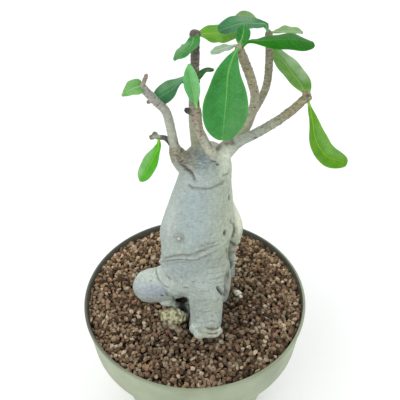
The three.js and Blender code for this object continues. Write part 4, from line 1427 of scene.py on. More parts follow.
class Canvas:
    """The plant's skin while it is being marked: how far each vertex moves, its colour and roughness."""

    reach: float = 6.0
    steps_per_point: int = 16
    fade_steps: int = 8
    end_share: float = 0.35
    lip_at: float = 2.2

    def __init__(self, made: Piece, view: View, colour: Array) -> None:
        """Reads the mesh and prepares to find what the camera sees of it.

        Args:
            made: The skin.
            view: The camera.
            colour: The linear colour that each vertex starts with.
        """
        self.made = made
        self.view = view
        self.points = vertices_of(made)
        self.normals = normals_of(made)
        self.colour = colour
        self.shift = np.zeros(len(self.points))
        self.rough = np.zeros(len(self.points))
        triangles = [tuple(polygon.vertices) for polygon in made.data.polygons]
        self.tree = BVHTree.FromPolygons([tuple(point) for point in self.points], triangles)

    def noise(self, scale: Point, seed: float) -> Array:
        """Smooth noise at each vertex, with bumps of a size in millimetres."""
        return noise_at(self.points, scale, seed)

    def paint(self, colour: Colour, share: Array) -> None:
        """Blends a screen colour in by a share for each vertex."""
        self.colour = mixed(self.colour, colour, np.clip(share, 0, 1))

    def roughen(self, share: Array) -> None:
        """Makes each vertex at least as rough as its share."""
        self.rough = np.maximum(self.rough, share)

    def seen(self, pixel: Pixel) -> Array | None:
        """Where the skin shows at a pixel of the photograph, or None beside it."""
        hit = self.tree.ray_cast(Vector(self.view.place), self.view.ray(pixel))[0]
        return None if hit is None else np.array(hit)

    def press(self, crease: Crease) -> None:
        """Presses a crease in and darkens it, partly with its own colour and partly with painted shade.

        Args:
            crease: The crease, which fades out at its ends.
        """
        pixels = np.array(crease.pixels, float)
        steps = np.linspace(0, 1, self.steps_per_point * len(pixels))
        found = [self.seen(tuple(pixel)) for pixel in along_table(pixels, steps)]
        line = np.array([place for place in found if place is not None])
        if not len(line):
            log.warning("a crease at %s lies beside the skin", crease.pixels[0])
            return
        low, high = line.min(axis=0) - self.reach, line.max(axis=0) + self.reach
        near = np.nonzero(((self.points > low) & (self.points < high)).all(axis=1))[0]
        away = np.full(len(near), np.inf)
        ends = np.zeros(len(near))
        for i, place in enumerate(line):
            distance = np.linalg.norm(self.points[near] - place, axis=1)
            closer = distance < away
            ends[closer] = min(i, len(line) - 1 - i)
            away = np.minimum(away, distance)
        fade = self.end_share + (1 - self.end_share) * np.clip(ends / self.fade_steps, 0, 1)
        groove = np.exp(-((away / crease.width) ** 2)) * fade
        edge = np.exp(-(((away - self.lip_at * crease.width) / crease.width) ** 2)) * fade
        self.shift[near] += crease.lip * crease.depth * edge - crease.depth * groove
        # The crease's colour darkens the groove: partly its own colour, partly painted shade.
        share = np.zeros(len(self.points))
        share[near] = crease.stain * groove
        self.paint(crease.colour, share)

    def mark(self, mark: Mark) -> None:
        """Sinks or raises a round mark and gives it its colour.

        Args:
            mark: The mark.
        """
        place = self.seen(mark.pixel)
        if place is None:
            log.warning("a mark at %s lies beside the skin", mark.pixel)
            return
        offset = self.points - place
        wide = np.hypot(offset[:, 0], offset[:, 1]) / mark.stretch[0]
        tall = offset[:, 2] / mark.stretch[1]
        share = np.exp(-((wide**2 + tall**2) / mark.radius**2) ** 1.5)
        self.shift -= mark.depth * share
        self.paint(mark.colour, mark.share * share)

    def store(self) -> None:
        """Moves the vertices and stores the colours and the roughness on the mesh."""
        set_vertices(self.made, self.points + self.normals * self.shift[:, None])
        set_attribute(self.made, "skin", self.colour)
        set_attribute(self.made, "rough", np.clip(self.rough, 0, 1))


@dataclass
class Plant:
    """The swollen trunk, its roots and its branches, grown as one skin."""

    plain: str = "plant"
    voxel: float = 0.62
    trunk_fade: tuple[float, float] = (238.0, 256.0)
    trunk_rounds: int = 14
    branch_smoothing: float = 0.15
    knob_hold: float = 0.6
    knob_reach: tuple[float, float] = (0.9, 1.6)
    branch_swell: float = 0.34
    branch_samples: int = 80
    batch: int = 4000
    most_triangles: int = 190_000
    view: View = View()
    finish: Bark = Bark()
    pale: Colour = (160, 173, 166)
    cream: Colour = (180, 190, 157)
    fine_pale: Colour = (190, 198, 190)
    low_painted_light: Colour = (202, 216, 207)
    blotch_grey: Colour = (132, 142, 132)
    wrinkle_brown: Colour = (112, 104, 84)
    speck_brown: Colour = (92, 80, 60)
    ring_pale: Colour = (176, 170, 142)
    crumb_brown: Colour = (136, 120, 96)
    cork: Colour = (188, 184, 142)
    cork_gap: Colour = (72, 64, 46)
    cork_crest_highlight: Colour = (214, 204, 148)
    stub_centre: Point = (-17.0, -20.4, 119.0)
    stub_shape: Point = (1.15, 0.85, 0.85)
    stub_radius: float = 10.4
    stub_heart: Point = (-8.0, -20.0, 116.0)
    layer_step: float = 3.1
    layer_bend: float = 4.6

    def build(self) -> Piece:
        """Grows the skin, presses its creases in and paints it.

        Returns:
            The plant.
        """
        made, knob_share = self._skin()
        points = vertices_of(made)
        trunk_share = 1 - smoothstep(points[:, 2], *self.trunk_fade)
        smoothing = self.branch_smoothing + (1 - self.branch_smoothing) * trunk_share
        weight = smoothing * (1 - self.knob_hold * knob_share)
        points = relaxed(points, edges_of(made), weight, self.trunk_rounds)
        set_vertices(made, points)
        number, share = self._along_branches(points)
        on_branch = 1 - trunk_share
        points = points + normals_of(made) * (self.branch_swell * on_branch)[:, None]
        set_vertices(made, points)
        canvas = Canvas(made, self.view, self._ground_colour(points))
        self._branch_colours(canvas, number, share)
        self._wrinkles(canvas, trunk_share)
        self._cork(canvas)
        for mark in PATCHES_AND_PAINTED_LIGHT:
            canvas.mark(mark)
        for crease in CREASES:
            canvas.press(crease)
        for mark in MARKS_AND_PAINTED_SHADE:
            canvas.mark(mark)
        self._rings(canvas, on_branch, share)
        canvas.store()
        self._thinned(made)
        made.data.materials.append(self.finish.material())
        return made

    def _thinned(self, made: Piece) -> None:
        """Thins the even mesh where it is flattest, down to the most triangles that a piece may have.

        Args:
            made: The plant.
        """
        thin = made.modifiers.new("thin", "DECIMATE")
        thin.ratio = min(1.0, self.most_triangles / (2 * len(made.data.polygons)))
        baked(made)
        made.data.shade_smooth()

    def _skin(self) -> tuple[Piece, Array]:
        """Grows a fine even mesh over the CAD plant and its knobs.

        Returns:
            The mesh, and how near each of its vertices lies to a knob, from 0 to 1.
        """
        plain = merged_copy(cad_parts[self.plain], "plant_under_skin")
        points = vertices_of(plain)
        faces = [list(polygon.vertices) for polygon in plain.data.polygons]
        tree = BVHTree.FromPolygons([tuple(point) for point in points], faces)
        bpy.data.objects.remove(plain)
        knobs = [(knob.centre(tree, self.view), np.array(knob.size)) for knob in KNOBS + CRUMBS]
        knobs = [(centre, size) for centre, size in knobs if centre is not None]
        for centre, size in knobs:
            faces.extend([index + len(points) for index in face] for face in BALL_FACES)
            points = np.vstack([points, BALL_POINTS * size + centre])
        made = mesh_object("bark", points, faces)
        remesh = made.modifiers.new("skin", "REMESH")
        remesh.mode = "VOXEL"
        remesh.voxel_size = self.voxel * MM
        remesh.use_smooth_shade = True
        places = vertices_of(baked(made))
        share = np.zeros(len(places))
        for centre, size in knobs:
            away = np.linalg.norm((places - centre) / size, axis=1)
            share = np.maximum(share, 1 - smoothstep(away, *self.knob_reach))
        return made, share

    def _along_branches(self, points: Array) -> tuple[Array, Array]:
        """Finds the nearest branch of each vertex.

        Args:
            points: The vertices.

        Returns:
            The number of the nearest branch and the share of the way to its tip.
        """
        samples = self.branch_samples
        lines = [branch.line(samples) for branch in BRANCHES.values()]
        centres = np.vstack([line[:, :3] for line in lines])
        radii = np.concatenate([line[:, 3] / 2 for line in lines])
        nearest = np.zeros(len(points), int)
        for start in range(0, len(points), self.batch):
            part = points[start : start + self.batch]
            away = np.sqrt(((part[:, None, :] - centres[None, :, :]) ** 2).sum(axis=2)) - radii
            nearest[start : start + self.batch] = away.argmin(axis=1)
        return nearest // samples, (nearest % samples) / (samples - 1)

    def _ground_colour(self, points: Array) -> Array:
        """The large, soft colours of the trunk: grey in front, creamier towards the right and the back, with
        painted light that makes the low trunk paler.

        Args:
            points: The vertices.

        Returns:
            The linear colour of each vertex.
        """
        cloud = noise_at(points, (22, 22, 30), 3.7)
        side = smoothstep(points[:, 0] + 0.6 * points[:, 1] + 9 * cloud, -6, 26)
        colour = mixed(np.tile(linear(self.pale), (len(points), 1)), self.cream, 0.8 * side)
        # Painted light: the low trunk, which faces down and away from the light, is made paler.
        low = 1 - smoothstep(points[:, 2], 130, 190)
        colour = mixed(colour, self.low_painted_light, 0.85 * low)
        fine = smoothstep(noise_at(points, (5, 5, 3.2), 9.1), 0.05, 0.6)
        blotch = smoothstep(noise_at(points, (6.5, 6.5, 8), 27.0), 0.1, 0.55)
        colour = mixed(colour, self.blotch_grey, blotch * (0.1 + 0.22 * low))
        return mixed(colour, self.fine_pale, 0.3 * fine)

    def _branch_colours(self, canvas: Canvas, number: Array, share: Array) -> None:
        """Blends each branch from its low colour at the crown to its high colour at the tip.

        Args:
            canvas: The skin to paint.
            number: The number of the nearest branch of each vertex.
            share: The share of the way to its tip.
        """
        crown = smoothstep(canvas.points[:, 2], 243, 258)
        rise = smoothstep(share, 0.4, 0.9)
        for index, branch in enumerate(BRANCHES.values()):
            mine = (number == index) * crown
            canvas.paint(branch.low, mine)
            canvas.paint(branch.high, mine * rise)
        canvas.roughen(crown * (0.25 + 0.6 * rise))

    def _wrinkles(self, canvas: Canvas, trunk_share: Array) -> None:
        """Presses fine level wrinkles, strongest low down and towards the right, and knots in the rear root.

        Args:
            canvas: The skin to mark.
            trunk_share: Where the trunk is, from 0 to 1.
        """
        x, y, z = canvas.points.T
        level = canvas.noise((7, 7, 1.5), 21.3)
        low = 1 - smoothstep(z, 150, 190)
        right = smoothstep(x, 0, 20)
        strength = trunk_share * (0.06 + 0.16 * np.maximum(low * 0.7, right * 0.8))
        canvas.shift += strength * level + 0.4 * trunk_share * canvas.noise((11, 11, 13), 5.5)
        canvas.paint(self.wrinkle_brown, 0.45 * smoothstep(-level, 0.25, 0.7) * np.clip(strength * 4, 0, 1))
        dash = smoothstep(canvas.noise((3.4, 3.4, 0.8), 44.0), 0.42, 0.62)
        canvas.paint(self.wrinkle_brown, 0.5 * dash * trunk_share * (0.15 + 0.85 * np.maximum(low, right)))
        canvas.shift -= 0.12 * dash * trunk_share
        rear = smoothstep(x, 18, 24) * smoothstep(y, 4, 10) * low
        knots = canvas.noise((5, 5, 6), 61.0)
        canvas.shift += 0.9 * rear * knots
        canvas.paint(self.wrinkle_brown, 0.7 * rear * smoothstep(-knots, 0.1, 0.5))
        canvas.roughen(0.15 + 0.5 * rear + 0.25 * low)

    def _cork(self, canvas: Canvas) -> None:
        """Layers cracked, yellowish cork on the low stub, with painted highlights on the layers' crests, and
        browns the root crumbs below it.

        Args:
            canvas: The skin to mark.
        """
        away = np.linalg.norm((canvas.points - np.array(self.stub_centre)) / self.stub_shape, axis=1)
        share = 1 - smoothstep(away, self.stub_radius * 0.85, self.stub_radius)
        from_heart = np.linalg.norm(canvas.points - np.array(self.stub_heart), axis=1)
        bend = self.layer_bend * (canvas.noise((6, 6, 6), 7.7) + 0.4 * canvas.noise((2, 2, 2), 1.1))
        layers = np.sin(2 * math.pi * from_heart / self.layer_step + bend)
        broken = smoothstep(canvas.noise((3.4, 3.4, 3.4), 5.2), -0.35, 0.2)
        splits = smoothstep(canvas.noise((2.6, 2.6, 1.6), 12.4), 0.2, 0.5)
        cracks = np.maximum(smoothstep(-layers, 0.45, 0.95) * broken, splits)
        canvas.shift += share * (0.45 * layers + 0.5 * canvas.noise((3, 3, 2.4), 2.2) - 0.5 * cracks)
        canvas.paint(self.cork, 0.95 * share)
        # Painted highlight on the crests of the raised layers.
        canvas.paint(self.cork_crest_highlight, share * 0.8 * smoothstep(layers, 0.1, 0.9))
        canvas.paint(self.cork_gap, share * 0.85 * cracks)
        for crumb in CRUMBS:
            away = np.linalg.norm((canvas.points - np.array(crumb.at)) / crumb.size, axis=1)
            inside = 1 - smoothstep(away, 1.1, 1.4)
            canvas.paint(self.crumb_brown, 0.95 * inside)
            canvas.paint(self.cork_gap, 0.8 * inside * cracks)
        canvas.roughen(share)

    def _rings(self, canvas: Canvas, on_branch: Array, share: Array) -> None:
        """Raises uneven rings along the branches and specks them.

        Args:
            canvas: The skin to mark.
            on_branch: Where the branches are, from 0 to 1.
            share: The share of the way to the nearest branch's tip.
        """
        upper = smoothstep(share, 0.25, 0.8)
        ring = canvas.noise((3.6, 3.6, 1.1), 13.0) + 0.6 * canvas.noise((1.5, 1.5, 1.2), 4.0)
        canvas.shift += on_branch * (0.08 + 0.2 * upper) * ring
        dark = smoothstep(canvas.noise((1.5, 1.5, 0.9), 31.0), 0.12, 0.5)
        canvas.paint(self.speck_brown, on_branch * dark * (0.15 + 0.55 * upper))
        canvas.paint(self.ring_pale, 0.5 * on_branch * upper * smoothstep(ring, 0.3, 0.8))


class Midrib:
    """A smooth curve through a leaf's midrib points, read by its length."""

    samples: int = 400

    def __init__(self, points: Sequence[Point]) -> None:
        """Samples the centripetal curve through the points.

        Args:
            points: The midrib's points, from the stalk to the tip.
        """
        table = np.array(points, float)
        table = np.vstack([2 * table[0] - table[1], table, 2 * table[-1] - table[-2]])
        shares = np.linspace(0, 1, self.samples) * (len(points) - 1)
        self.dense = np.array([self._point(table, share) for share in shares])
        steps = np.linalg.norm(np.diff(self.dense, axis=0), axis=1)
        self.places = np.concatenate([[0.0], np.cumsum(steps)])
        self.length = float(self.places[-1])

    def _point(self, table: Array, share: float) -> Array:
        """One point of the curve.

        Args:
            table: The points, with one more beyond each end.
            share: The place, in steps between points.

        Returns:
            The point's x, y and z.
        """
        index = min(int(share), len(table) - 4)
        t = share - index
        a, b, c, d = table[index : index + 4]
        first, second, third = (float(((q - p) ** 2).sum() ** 0.25) for p, q in ((a, b), (b, c), (c, d)))
        leave = ((b - a) / first - (c - a) / (first + second) + (c - b) / second) * second
        arrive = ((c - b) / second - (d - b) / (second + third) + (d - c) / third) * second
        return b + t * (leave + t * (3 * (c - b) - 2 * leave - arrive + t * (2 * (b - c) + leave + arrive)))

    def at(self, shares: Array) -> Array:
        """The points at shares of the curve's length."""
        far = np.clip(shares, 0, 1) * self.length
        return np.column_stack([np.interp(far, self.places, self.dense[:, axis]) for axis in range(3)])

    def along(self, shares: Array, step: float = 0.01) -> Array:
        """The curve's directions at shares of its length."""
        way = self.at(shares + step) - self.at(shares - step)
        return way / np.linalg.norm(way, axis=1)[:, None]


@dataclass(frozen=True)
class Leaf:
    """One leaf: a stalk and a thin blade about a curved midrib, made as a net of flat rings."""

    midrib: tuple[Point, ...]
    face: tuple[Point, Point]
    width: float
    widest: float
    fold: float
    base_fullness: float
    tip_fullness: float
    tone: LeafTone
    # Painted light on the left and right halves and towards the tip: above 0 painted sheen, below 0 painted
    # shade.
    left_painted_light: float = 0.0
    right_painted_light: float = 0.0
    tip_painted_light: float = 0.0
    wave: float = 0.35
    waves: float = 2.6
    rows: int = 46
    tip_crowding: float = 1.4
    half_columns: int = 9
    stalk_half_width: float = 0.95
    stalk_half_height: float = 0.62
    stalk_ends: tuple[float, float] = (0.01, 0.13)
    blade_begins: tuple[float, float] = (1.1, 3.2)
    margin_half: float = 0.09
    middle_half: float = 0.24
    rib_width: float = 0.85
    rib_over: float = -0.16
    rib_under: float = 0.4
    end: float = 0.99
    vein_spacing: float = 3.4
    vein_lean: float = 0.6

    def half_width(self, shares: Array) -> Array:
        """Half the blade's width.

        Args:
            shares: Places along the blade, from 0 to 1.

        Returns:
            The half width at each place, in millimetres.
        """
        power = math.log(0.5) / math.log(self.widest)
        fullness = np.where(shares < self.widest, self.base_fullness, self.tip_fullness)
        outline = np.sin(math.pi * shares**power) ** fullness
        return np.maximum(self.stalk_half_width, self.width / 2 * outline)

    def build(self, name: str) -> Piece:
        """Makes the leaf with its distances from the midrib, the margin and the veins.

        Args:
            name: The piece's name.

        Returns:
            The leaf, with no material yet.
        """
        curve = Midrib(self.midrib)
        shares = self.end * (1 - (1 - np.linspace(0, 1, self.rows)) ** self.tip_crowding)
        columns = np.sin(np.linspace(-1, 1, 2 * self.half_columns + 1) * math.pi / 2)
        across = np.concatenate([columns, columns[::-1]])
        over = np.concatenate([np.ones(len(columns)), -np.ones(len(columns))])
        along = curve.along(shares)
        low, high = np.array(self.face)
        up = low + (high - low) * shares[:, None]
        up -= along * (up * along).sum(axis=1)[:, None]
        up /= np.linalg.norm(up, axis=1)[:, None]
        side = np.cross(along, up)
        far = shares[:, None]
        half = self.half_width(shares)[:, None]
        out = half * across
        level = (out * math.cos(math.radians(self.fold)))[:, :, None]
        rise = self._rise(far, half, across, over)[:, :, None]
        points = curve.at(shares)[:, None, :] + side[:, None, :] * level
        points = points + up[:, None, :] * rise
        made = mesh_object(name, points.reshape(-1, 3), self._faces(len(across)))
        self._keep(made, "rib", out / (0.55 * (1.25 - far)))
        self._keep(made, "vein", (far * curve.length - self.vein_lean * np.abs(out)) / self.vein_spacing)
        self._keep(made, "edge", np.abs(across))
        self._keep(made, "under", np.where(over > 0, 0.0, 1.0))
        self._keep(made, "painted_light", self._painted_light(far, across))
        self._keep(made, "stalk", 1 - smoothstep(far, *self.stalk_ends))
        return made

    def _rise(self, far: Array, half: Array, across: Array, over: Array) -> Array:
        """How high the leaf's faces lie above its midrib: its fold, its waves, its rib and its thickness.

        Args:
            far: The rows' places along the leaf.
            half: Its half width in each row.
            across: The columns' places across it, from -1 to 1.
            over: 1 for a column on top, -1 for one on the underside.

        Returns:
            One height for each row and column, in millimetres.
        """
        blade = smoothstep(half, *self.blade_begins)
        out = half * across
        lift = half * math.sin(math.radians(self.fold)) * (np.sqrt(across**2 + 0.03) - 0.173) * blade
        ripple = np.sin(2 * math.pi * self.waves * far + 1.3 * np.sign(across) + self.width)
        lift = lift + self.wave * blade * ripple * np.abs(across) ** 2.2
        round_half = self.stalk_half_height * np.sqrt(np.clip(1 - across**2, 0, 1))
        rib = np.exp(-((out / self.rib_width) ** 2))
        flat_half = self.margin_half + self.middle_half * (1 - np.abs(across) ** 2.5)
        ridge = np.where(over > 0, self.rib_over, self.rib_under) * rib * (1 - 0.7 * far)
        thick = (1 - blade) * round_half + blade * (flat_half + ridge)
        return lift + over * thick

    def _painted_light(self, far: Array, across: Array) -> Array:
        """How much painted sheen, or below 0 painted shade, each place of the blade has.

        Args:
            far: The rows' places along the blade.
            across: The columns' places across it, from -1 at the right margin to 1 at the left.

        Returns:
            One value for each row and column.
        """
        side = smoothstep(np.abs(across), 0.05, 0.4) * np.where(across > 0, self.left_painted_light, self.right_painted_light)
        middle = smoothstep(far, 0.15, 0.35) * (1 - smoothstep(far, 0.85, 1.0))
        return side * middle + self.tip_painted_light * smoothstep(far, 0.45, 0.95)

    def _keep(self, made: Piece, name: str, values: Array) -> None:
        """Stores values of the rows, of the columns or of both for each vertex."""
        shape = (self.rows, len(made.data.vertices) // self.rows)
        set_attribute(made, name, np.broadcast_to(values, shape).ravel())

    def _faces(self, count: int) -> list[Sequence[int]]:
        """The faces of a closed net of rings with flat ends.

        Args:
            count: How many vertices a ring has.

        Returns:
            The vertex indices of each face.
        """
        faces: list[Sequence[int]] = []
        for row in range(self.rows - 1):
            for j in range(count):
                after = (j + 1) % count
                first, second = row * count, (row + 1) * count
                faces.append((first + j, second + j, second + after, first + after))
        last = (self.rows - 1) * count
        for start, turned in ((0, False), (last, True)):
            for j in range(count // 2 - 1):
                square = (start + j, start + j + 1, start + count - 2 - j, start + count - 1 - j)
                faces.append(square[::-1] if turned else square)
        return faces


LEAVES = (
    Leaf(
        ((-26.4, -14.6, 303.4), (-29.2, -17.5, 305.2), (-32.9, -20.5, 304.7), (-37.1, -23, 302.8)),
        ((-0.2, -0.7, 0.7), (-0.3, -0.6, 0.75)), 10.5, 0.36, 8, 0.8, 0.8, LeafTone.YOUNG, 0.1, 0,
    ),
    Leaf(
        ((-20.6, -6.6, 268), (-20.7, -9.5, 263.5), (-25, -11.5, 254.2), (-33.2, -12.5, 239.9)),
        ((-0.6, -0.6, 0.5), (-0.5, -0.85, 0.1)), 11.2, 0.58, 16, 0.75, 0.55, LeafTone.FRESH, 0.3, 0, 0.06,
    ),
    Leaf(
        ((1.8, -11.4, 289.6), (-1.1, -9.6, 302.2), (-4, -7.6, 304.8), (-11.5, -5, 297.8), (-22.1, -3, 290.3)),
        ((-0.7, 0.5, 0.4), (-0.3, -0.7, 0.65)), 13.8, 0.76, 8, 0.8, 0.36, LeafTone.BLUE, 0.22, -0.3, -0.1,
    ),
    Leaf(
        ((2.4, -12.6, 289.6), (0.2, -15.4, 302.3), (-1, -16, 309.5), (-1.9, -14, 316.9)),
        ((0, -1, 0.2), (0, -0.95, 0.3)), 10.4, 0.62, 36, 0.85, 0.75, LeafTone.JADE, 0.15, 0,
    ),
    Leaf(
        ((3, -11, 289.8), (2.6, -8, 296.9), (3, -6, 304.9), (6, -3.5, 307.9), (11.7, -2, 308.3)),
        ((0.6, 0.8, 0.1), (-0.3, -0.3, 0.9)), 5.6, 0.78, 8, 0.85, 0.65, LeafTone.SHADE,
    ),
    Leaf(
        ((0.8, 17, 321), (-0.8, 9, 317.6), (-4.8, 5, 315.1), (-10.8, 2, 312.1)),
        ((-0.5, -0.35, 0.8), (-0.5, -0.3, 0.8)), 12.4, 0.5, 12, 0.6, 0.6, LeafTone.DEEP, 0.2, -0.1,
    ),
    Leaf(
        ((2, 18.6, 320.8), (8.7, 20, 320.3), (15.6, 20.5, 320.3), (25.5, 19.5, 319.5)),
        ((0, -0.3, 1), (0.1, -0.3, 1)), 17, 0.52, 0, 0.7, 0.5, LeafTone.OLIVE, 0.02, -0.02,
    ),
    Leaf(
        ((42, 16.4, 322.4), (40.5, 16.6, 326.4), (34.4, 15.2, 327.6), (27.5, 13, 328.4), (20.8, 10, 327.6),
         (14, 7, 326.2)),
        ((-0.6, -0.4, 0.7), (0.15, -0.22, 0.95)), 14.5, 0.66, 8, 0.6, 0.45, LeafTone.BLUE, 0.2, -0.1, -0.3,
    ),
    Leaf(
        ((24.4, -9.9, 325.4), (26.1, -6.6, 328.9), (26.9, -2.6, 332.8)),
        ((0, -0.8, 0.6), (0, -0.75, 0.65)), 7.8, 0.5, 12, 0.42, 0.45, LeafTone.DEEP, -0.15, -0.15, -0.1,
    ),
    Leaf(
        ((43, 18.8, 322.4), (39.9, 21, 324.6), (35, 25, 325.6), (30.2, 28, 327.1), (24.2, 29, 327.4)),
        ((-0.1, -0.1, 1), (0, -0.1, 1)), 12, 0.74, 8, 1.3, 0.5, LeafTone.LIME, 0, 0, -0.2,
    ),
    Leaf(
        ((25.6, -11.8, 324.6), (28.5, -12.5, 327.7), (35, -13, 328.4), (42.6, -13, 328.7),
         (51.1, -12.5, 328.9), (62.9, -10, 326)),
        ((0, -0.2, 1), (0.1, -0.2, 1)), 15.8, 0.66, -10, 0.75, 0.4, LeafTone.RICH,
    ),
    Leaf(
        ((43.6, 17.8, 321.8), (52.9, 20.5, 321.5), (62.8, 22, 320.5)),
        ((0, 0, 1), (0.1, 0, 1)), 13, 0.62, 10, 0.85, 0.45, LeafTone.LIME, 0.1, 0,
    ),
    Leaf(
        ((63.8, -5.2, 294.6), (60.7, 4, 297.8), (55.4, 14, 302), (51.1, 23, 305.2), (47.1, 31, 308.5)),
        ((0.25, -0.4, 0.8), (0.15, -0.35, 0.9)), 15.5, 0.42, 14, 0.62, 0.5, LeafTone.MEADOW, 0.5, 0,
    ),
    Leaf(
        ((64.6, -6.6, 293), (67.6, -11.5, 282.2), (71, -13.5, 270.2), (79.4, -12.5, 258.5), (93.6, -10, 252)),
        ((0.5, -0.7, 0.5), (0.2, -0.85, 0.5)), 14.8, 0.58, 24, 0.85, 0.45, LeafTone.OLIVE, -0.08, 0.1,
    ),
    Leaf(
        ((24, -12.4, 324.2), (21.8, -18, 324.4), (18.1, -27, 317.7), (17.4, -29.5, 305.7), (16, -28, 278.4)),
        ((0, -0.3, 0.95), (0, -1, 0.1)), 24, 0.65, 8, 0.85, 0.55, LeafTone.DEEP, -0.12, 0.04, 0.05,
    ),
    Leaf(
        ((22.6, -10.4, 325.2), (17.1, -15.5, 325.7), (9.1, -17, 323.6)),
        ((0, -0.35, 0.95), (0, -0.35, 0.95)), 5.8, 0.62, 14, 0.7, 0.5, LeafTone.GREY,
    ),
)


@dataclass(frozen=True)
class Foliage:
    """All the leaves."""

    leaves: tuple[Leaf, ...] = LEAVES

    def build(self) -> list[Piece]:
        """Makes every leaf.

        Returns:
            The leaves, in the order of the CAD nodes.
        """
        greens = {tone: tone.value.material() for tone in LeafTone}
        pieces = []
        for number, leaf in enumerate(self.leaves, start=1):
            made = leaf.build(f"blade_{number:02d}")
            made.data.materials.append(greens[leaf.tone])
            pieces.append(made)
        return pieces


@dataclass(frozen=True)
class ScarBark:
    """The corky rims of old leaf scars, with a darker pit."""

    rim: Colour = (134, 122, 94)
    dark: Colour = (96, 82, 62)
    pit: Colour = (58, 48, 40)

    def material(self) -> bpy.types.Material:
        """Makes the cork.

        Returns:
            The material, which reads the attribute pit.
        """
        skin = SkinGraph("scar_cork")
        mottle = skin.range(skin.speckle(1.1, 3), 0.35, 0.65, 0, 1)
        plain = skin.blend(mottle, rgba(self.dark), rgba(self.rim))
        colour = skin.blend(skin.read("pit"), plain, rgba(self.pit))
        return skin.finish(colour, 0.85, 0.3, Normal=skin.raise_by(skin.speckle(0.4, 3), 0.15, 0.6))


@dataclass
class LeafScars:
    """The oval scars that fallen leaves left on the branches, in a spiral towards each tip."""

    turn: float = 2.4
    radius: float = 1.0
    segments: int = 10
    rings: int = 6
    narrow: float = 0.75
    flat: float = 0.3
    pit_above: float = 0.9
    sunk: float = 0.08
    bump: float = 1.2
    reach: float = 0.25
    samples: int = 200
    tip_crowding: float = 1.3
    width_steps: int = 5
    width_spread: float = 0.3
    level: Point = (0.3, 1.0, 0.2)
    finish: ScarBark = ScarBark()

    def build(self) -> Piece:
        """Sets a scar on each place of every branch's spiral.

        Returns:
            All the scars as one piece.
        """
        places, ways, widths = self._spirals()
        made = mesh_object("leaf_scars", places)
        attribute = made.data.attributes.new("way", "FLOAT_VECTOR", "POINT")
        attribute.data.foreach_set("vector", ways.astype(np.float32).ravel())
        set_attribute(made, "width", widths)
        tree = GrowthTree("scar_spiral")
        radius = tree.size("Scar Radius", self.radius)
        inputs = {"Segments": self.segments, "Rings": self.rings, "Radius": radius}
        pad = tree.out("GeometryNodeMeshUVSphere", inputs)
        height = tree.split(tree.position())[2]
        top = tree.maths("GREATER_THAN", height, tree.product(radius, self.pit_above))
        pitted = tree.keep(pad, "pit", top)
        way = tree.out("GeometryNodeInputNamedAttribute", {"Name": "way"}, data_type="FLOAT_VECTOR")
        turn = tree.out("FunctionNodeAlignRotationToVector", {"Vector": way}, axis="Z")
        width = tree.out("GeometryNodeInputNamedAttribute", {"Name": "width"}, data_type="FLOAT")
        scale = tree.join(width, tree.product(width, self.narrow), self.flat)
        points = tree.out("GeometryNodeMeshToPoints", {0: tree.given})
        real = tree.realized(tree.copies(points, pitted, Rotation=turn, Scale=scale))
        return tree.run(made, tree.roughened(real, self.bump, self.reach), self.finish.material())

    def _spirals(self) -> tuple[Array, Array, Array]:
        """Winds a spiral of scars up each branch.

        Returns:
            The scars' places, the ways they face and their widths.
        """
        places, ways, widths = [], [], []
        for number, branch in enumerate(BRANCHES.values()):
            line = branch.line(self.samples)
            down = (np.arange(branch.scars) / max(branch.scars, 1)) ** self.tip_crowding
            for i, share in enumerate(1 - (1 - branch.scars_from) * down):
                index = min(int(share * (self.samples - 1)), self.samples - 2)
                along = line[index + 1, :3] - line[index, :3]
                along /= np.linalg.norm(along)
                across = np.cross(along, self.level)
                across /= np.linalg.norm(across)
                beside = np.cross(along, across)
                angle = self.turn * i + number
                way = across * math.cos(angle) + beside * math.sin(angle)
                places.append(line[index, :3] + way * (line[index, 3] / 2 - self.sunk))
                ways.append(way)
                step = (i * 7 + number * 3) % self.width_steps
                widths.append(1.0 - self.width_spread * step / (self.width_steps - 1))
        return np.array(places), np.array(ways), np.array(widths)


@dataclass(frozen=True)
class Stone:
    """One stone that stands out of the grit, placed by its pixel in the photograph."""

    pixel: Pixel
    size: Point
    tone: float


PALE_STONES = (
    Stone((237.6, 293), (3.1, 2.4, 2.2), 0.7),
    Stone((234.6, 291), (1.8, 1.5, 1.4), 0.2),
    Stone((240.6, 296.4), (1.5, 1.3, 1.2), 0.6),
    Stone((265, 306), (1.6, 1.3, 1.1), 0.3),
)
BRIGHT_STONES = (
    Stone((143, 262), (3, 2.2, 1.8), 0.7),
    Stone((100, 280), (2.6, 2, 1.6), 0.9),
    Stone((115, 258), (2.6, 2, 1.6), 0.9),
    Stone((275, 335), (2.2, 1.8, 1.5), 0.94),
)


@dataclass
class LooseStones:
    """A few larger or paler stones that lie on the grit."""

    level: float = 121.0
    bump: Point = (0.8, 0.8, 0.8)
    roughness: float = 0.28
    view: View = View()

    def build(self, name: str, stones: Sequence[Stone], finish: bpy.types.Material) -> Piece:
        """Makes the stones as one piece.

        Args:
            name: The piece's name.
            stones: The stones.
            finish: Their surface.

        Returns:
            The stones, which lie where their pixels meet the grit.
        """
        points, faces, tones = [], [], []
        for stone in stones:
            rough = 1 + self.roughness * noise_at(BALL_POINTS, self.bump, stone.pixel[0])
            shaped = BALL_POINTS * rough[:, None] * np.array(stone.size)
            first = len(points)
            points.extend(shaped + self._on_grit(stone.pixel))
            tones.extend([stone.tone] * len(shaped))
            faces.extend([index + first for index in face] for face in BALL_FACES)
        made = mesh_object(name, np.array(points), faces)
        set_attribute(made, "tone", np.array(tones))
        made.data.materials.append(finish)
        return made

    def _on_grit(self, pixel: Pixel) -> Array:
        """Where a pixel's ray meets the level of the grit."""
        ray, place = np.array(self.view.ray(pixel)), np.array(self.view.place)
        return place + ray * ((self.level - place[2]) / ray[2])


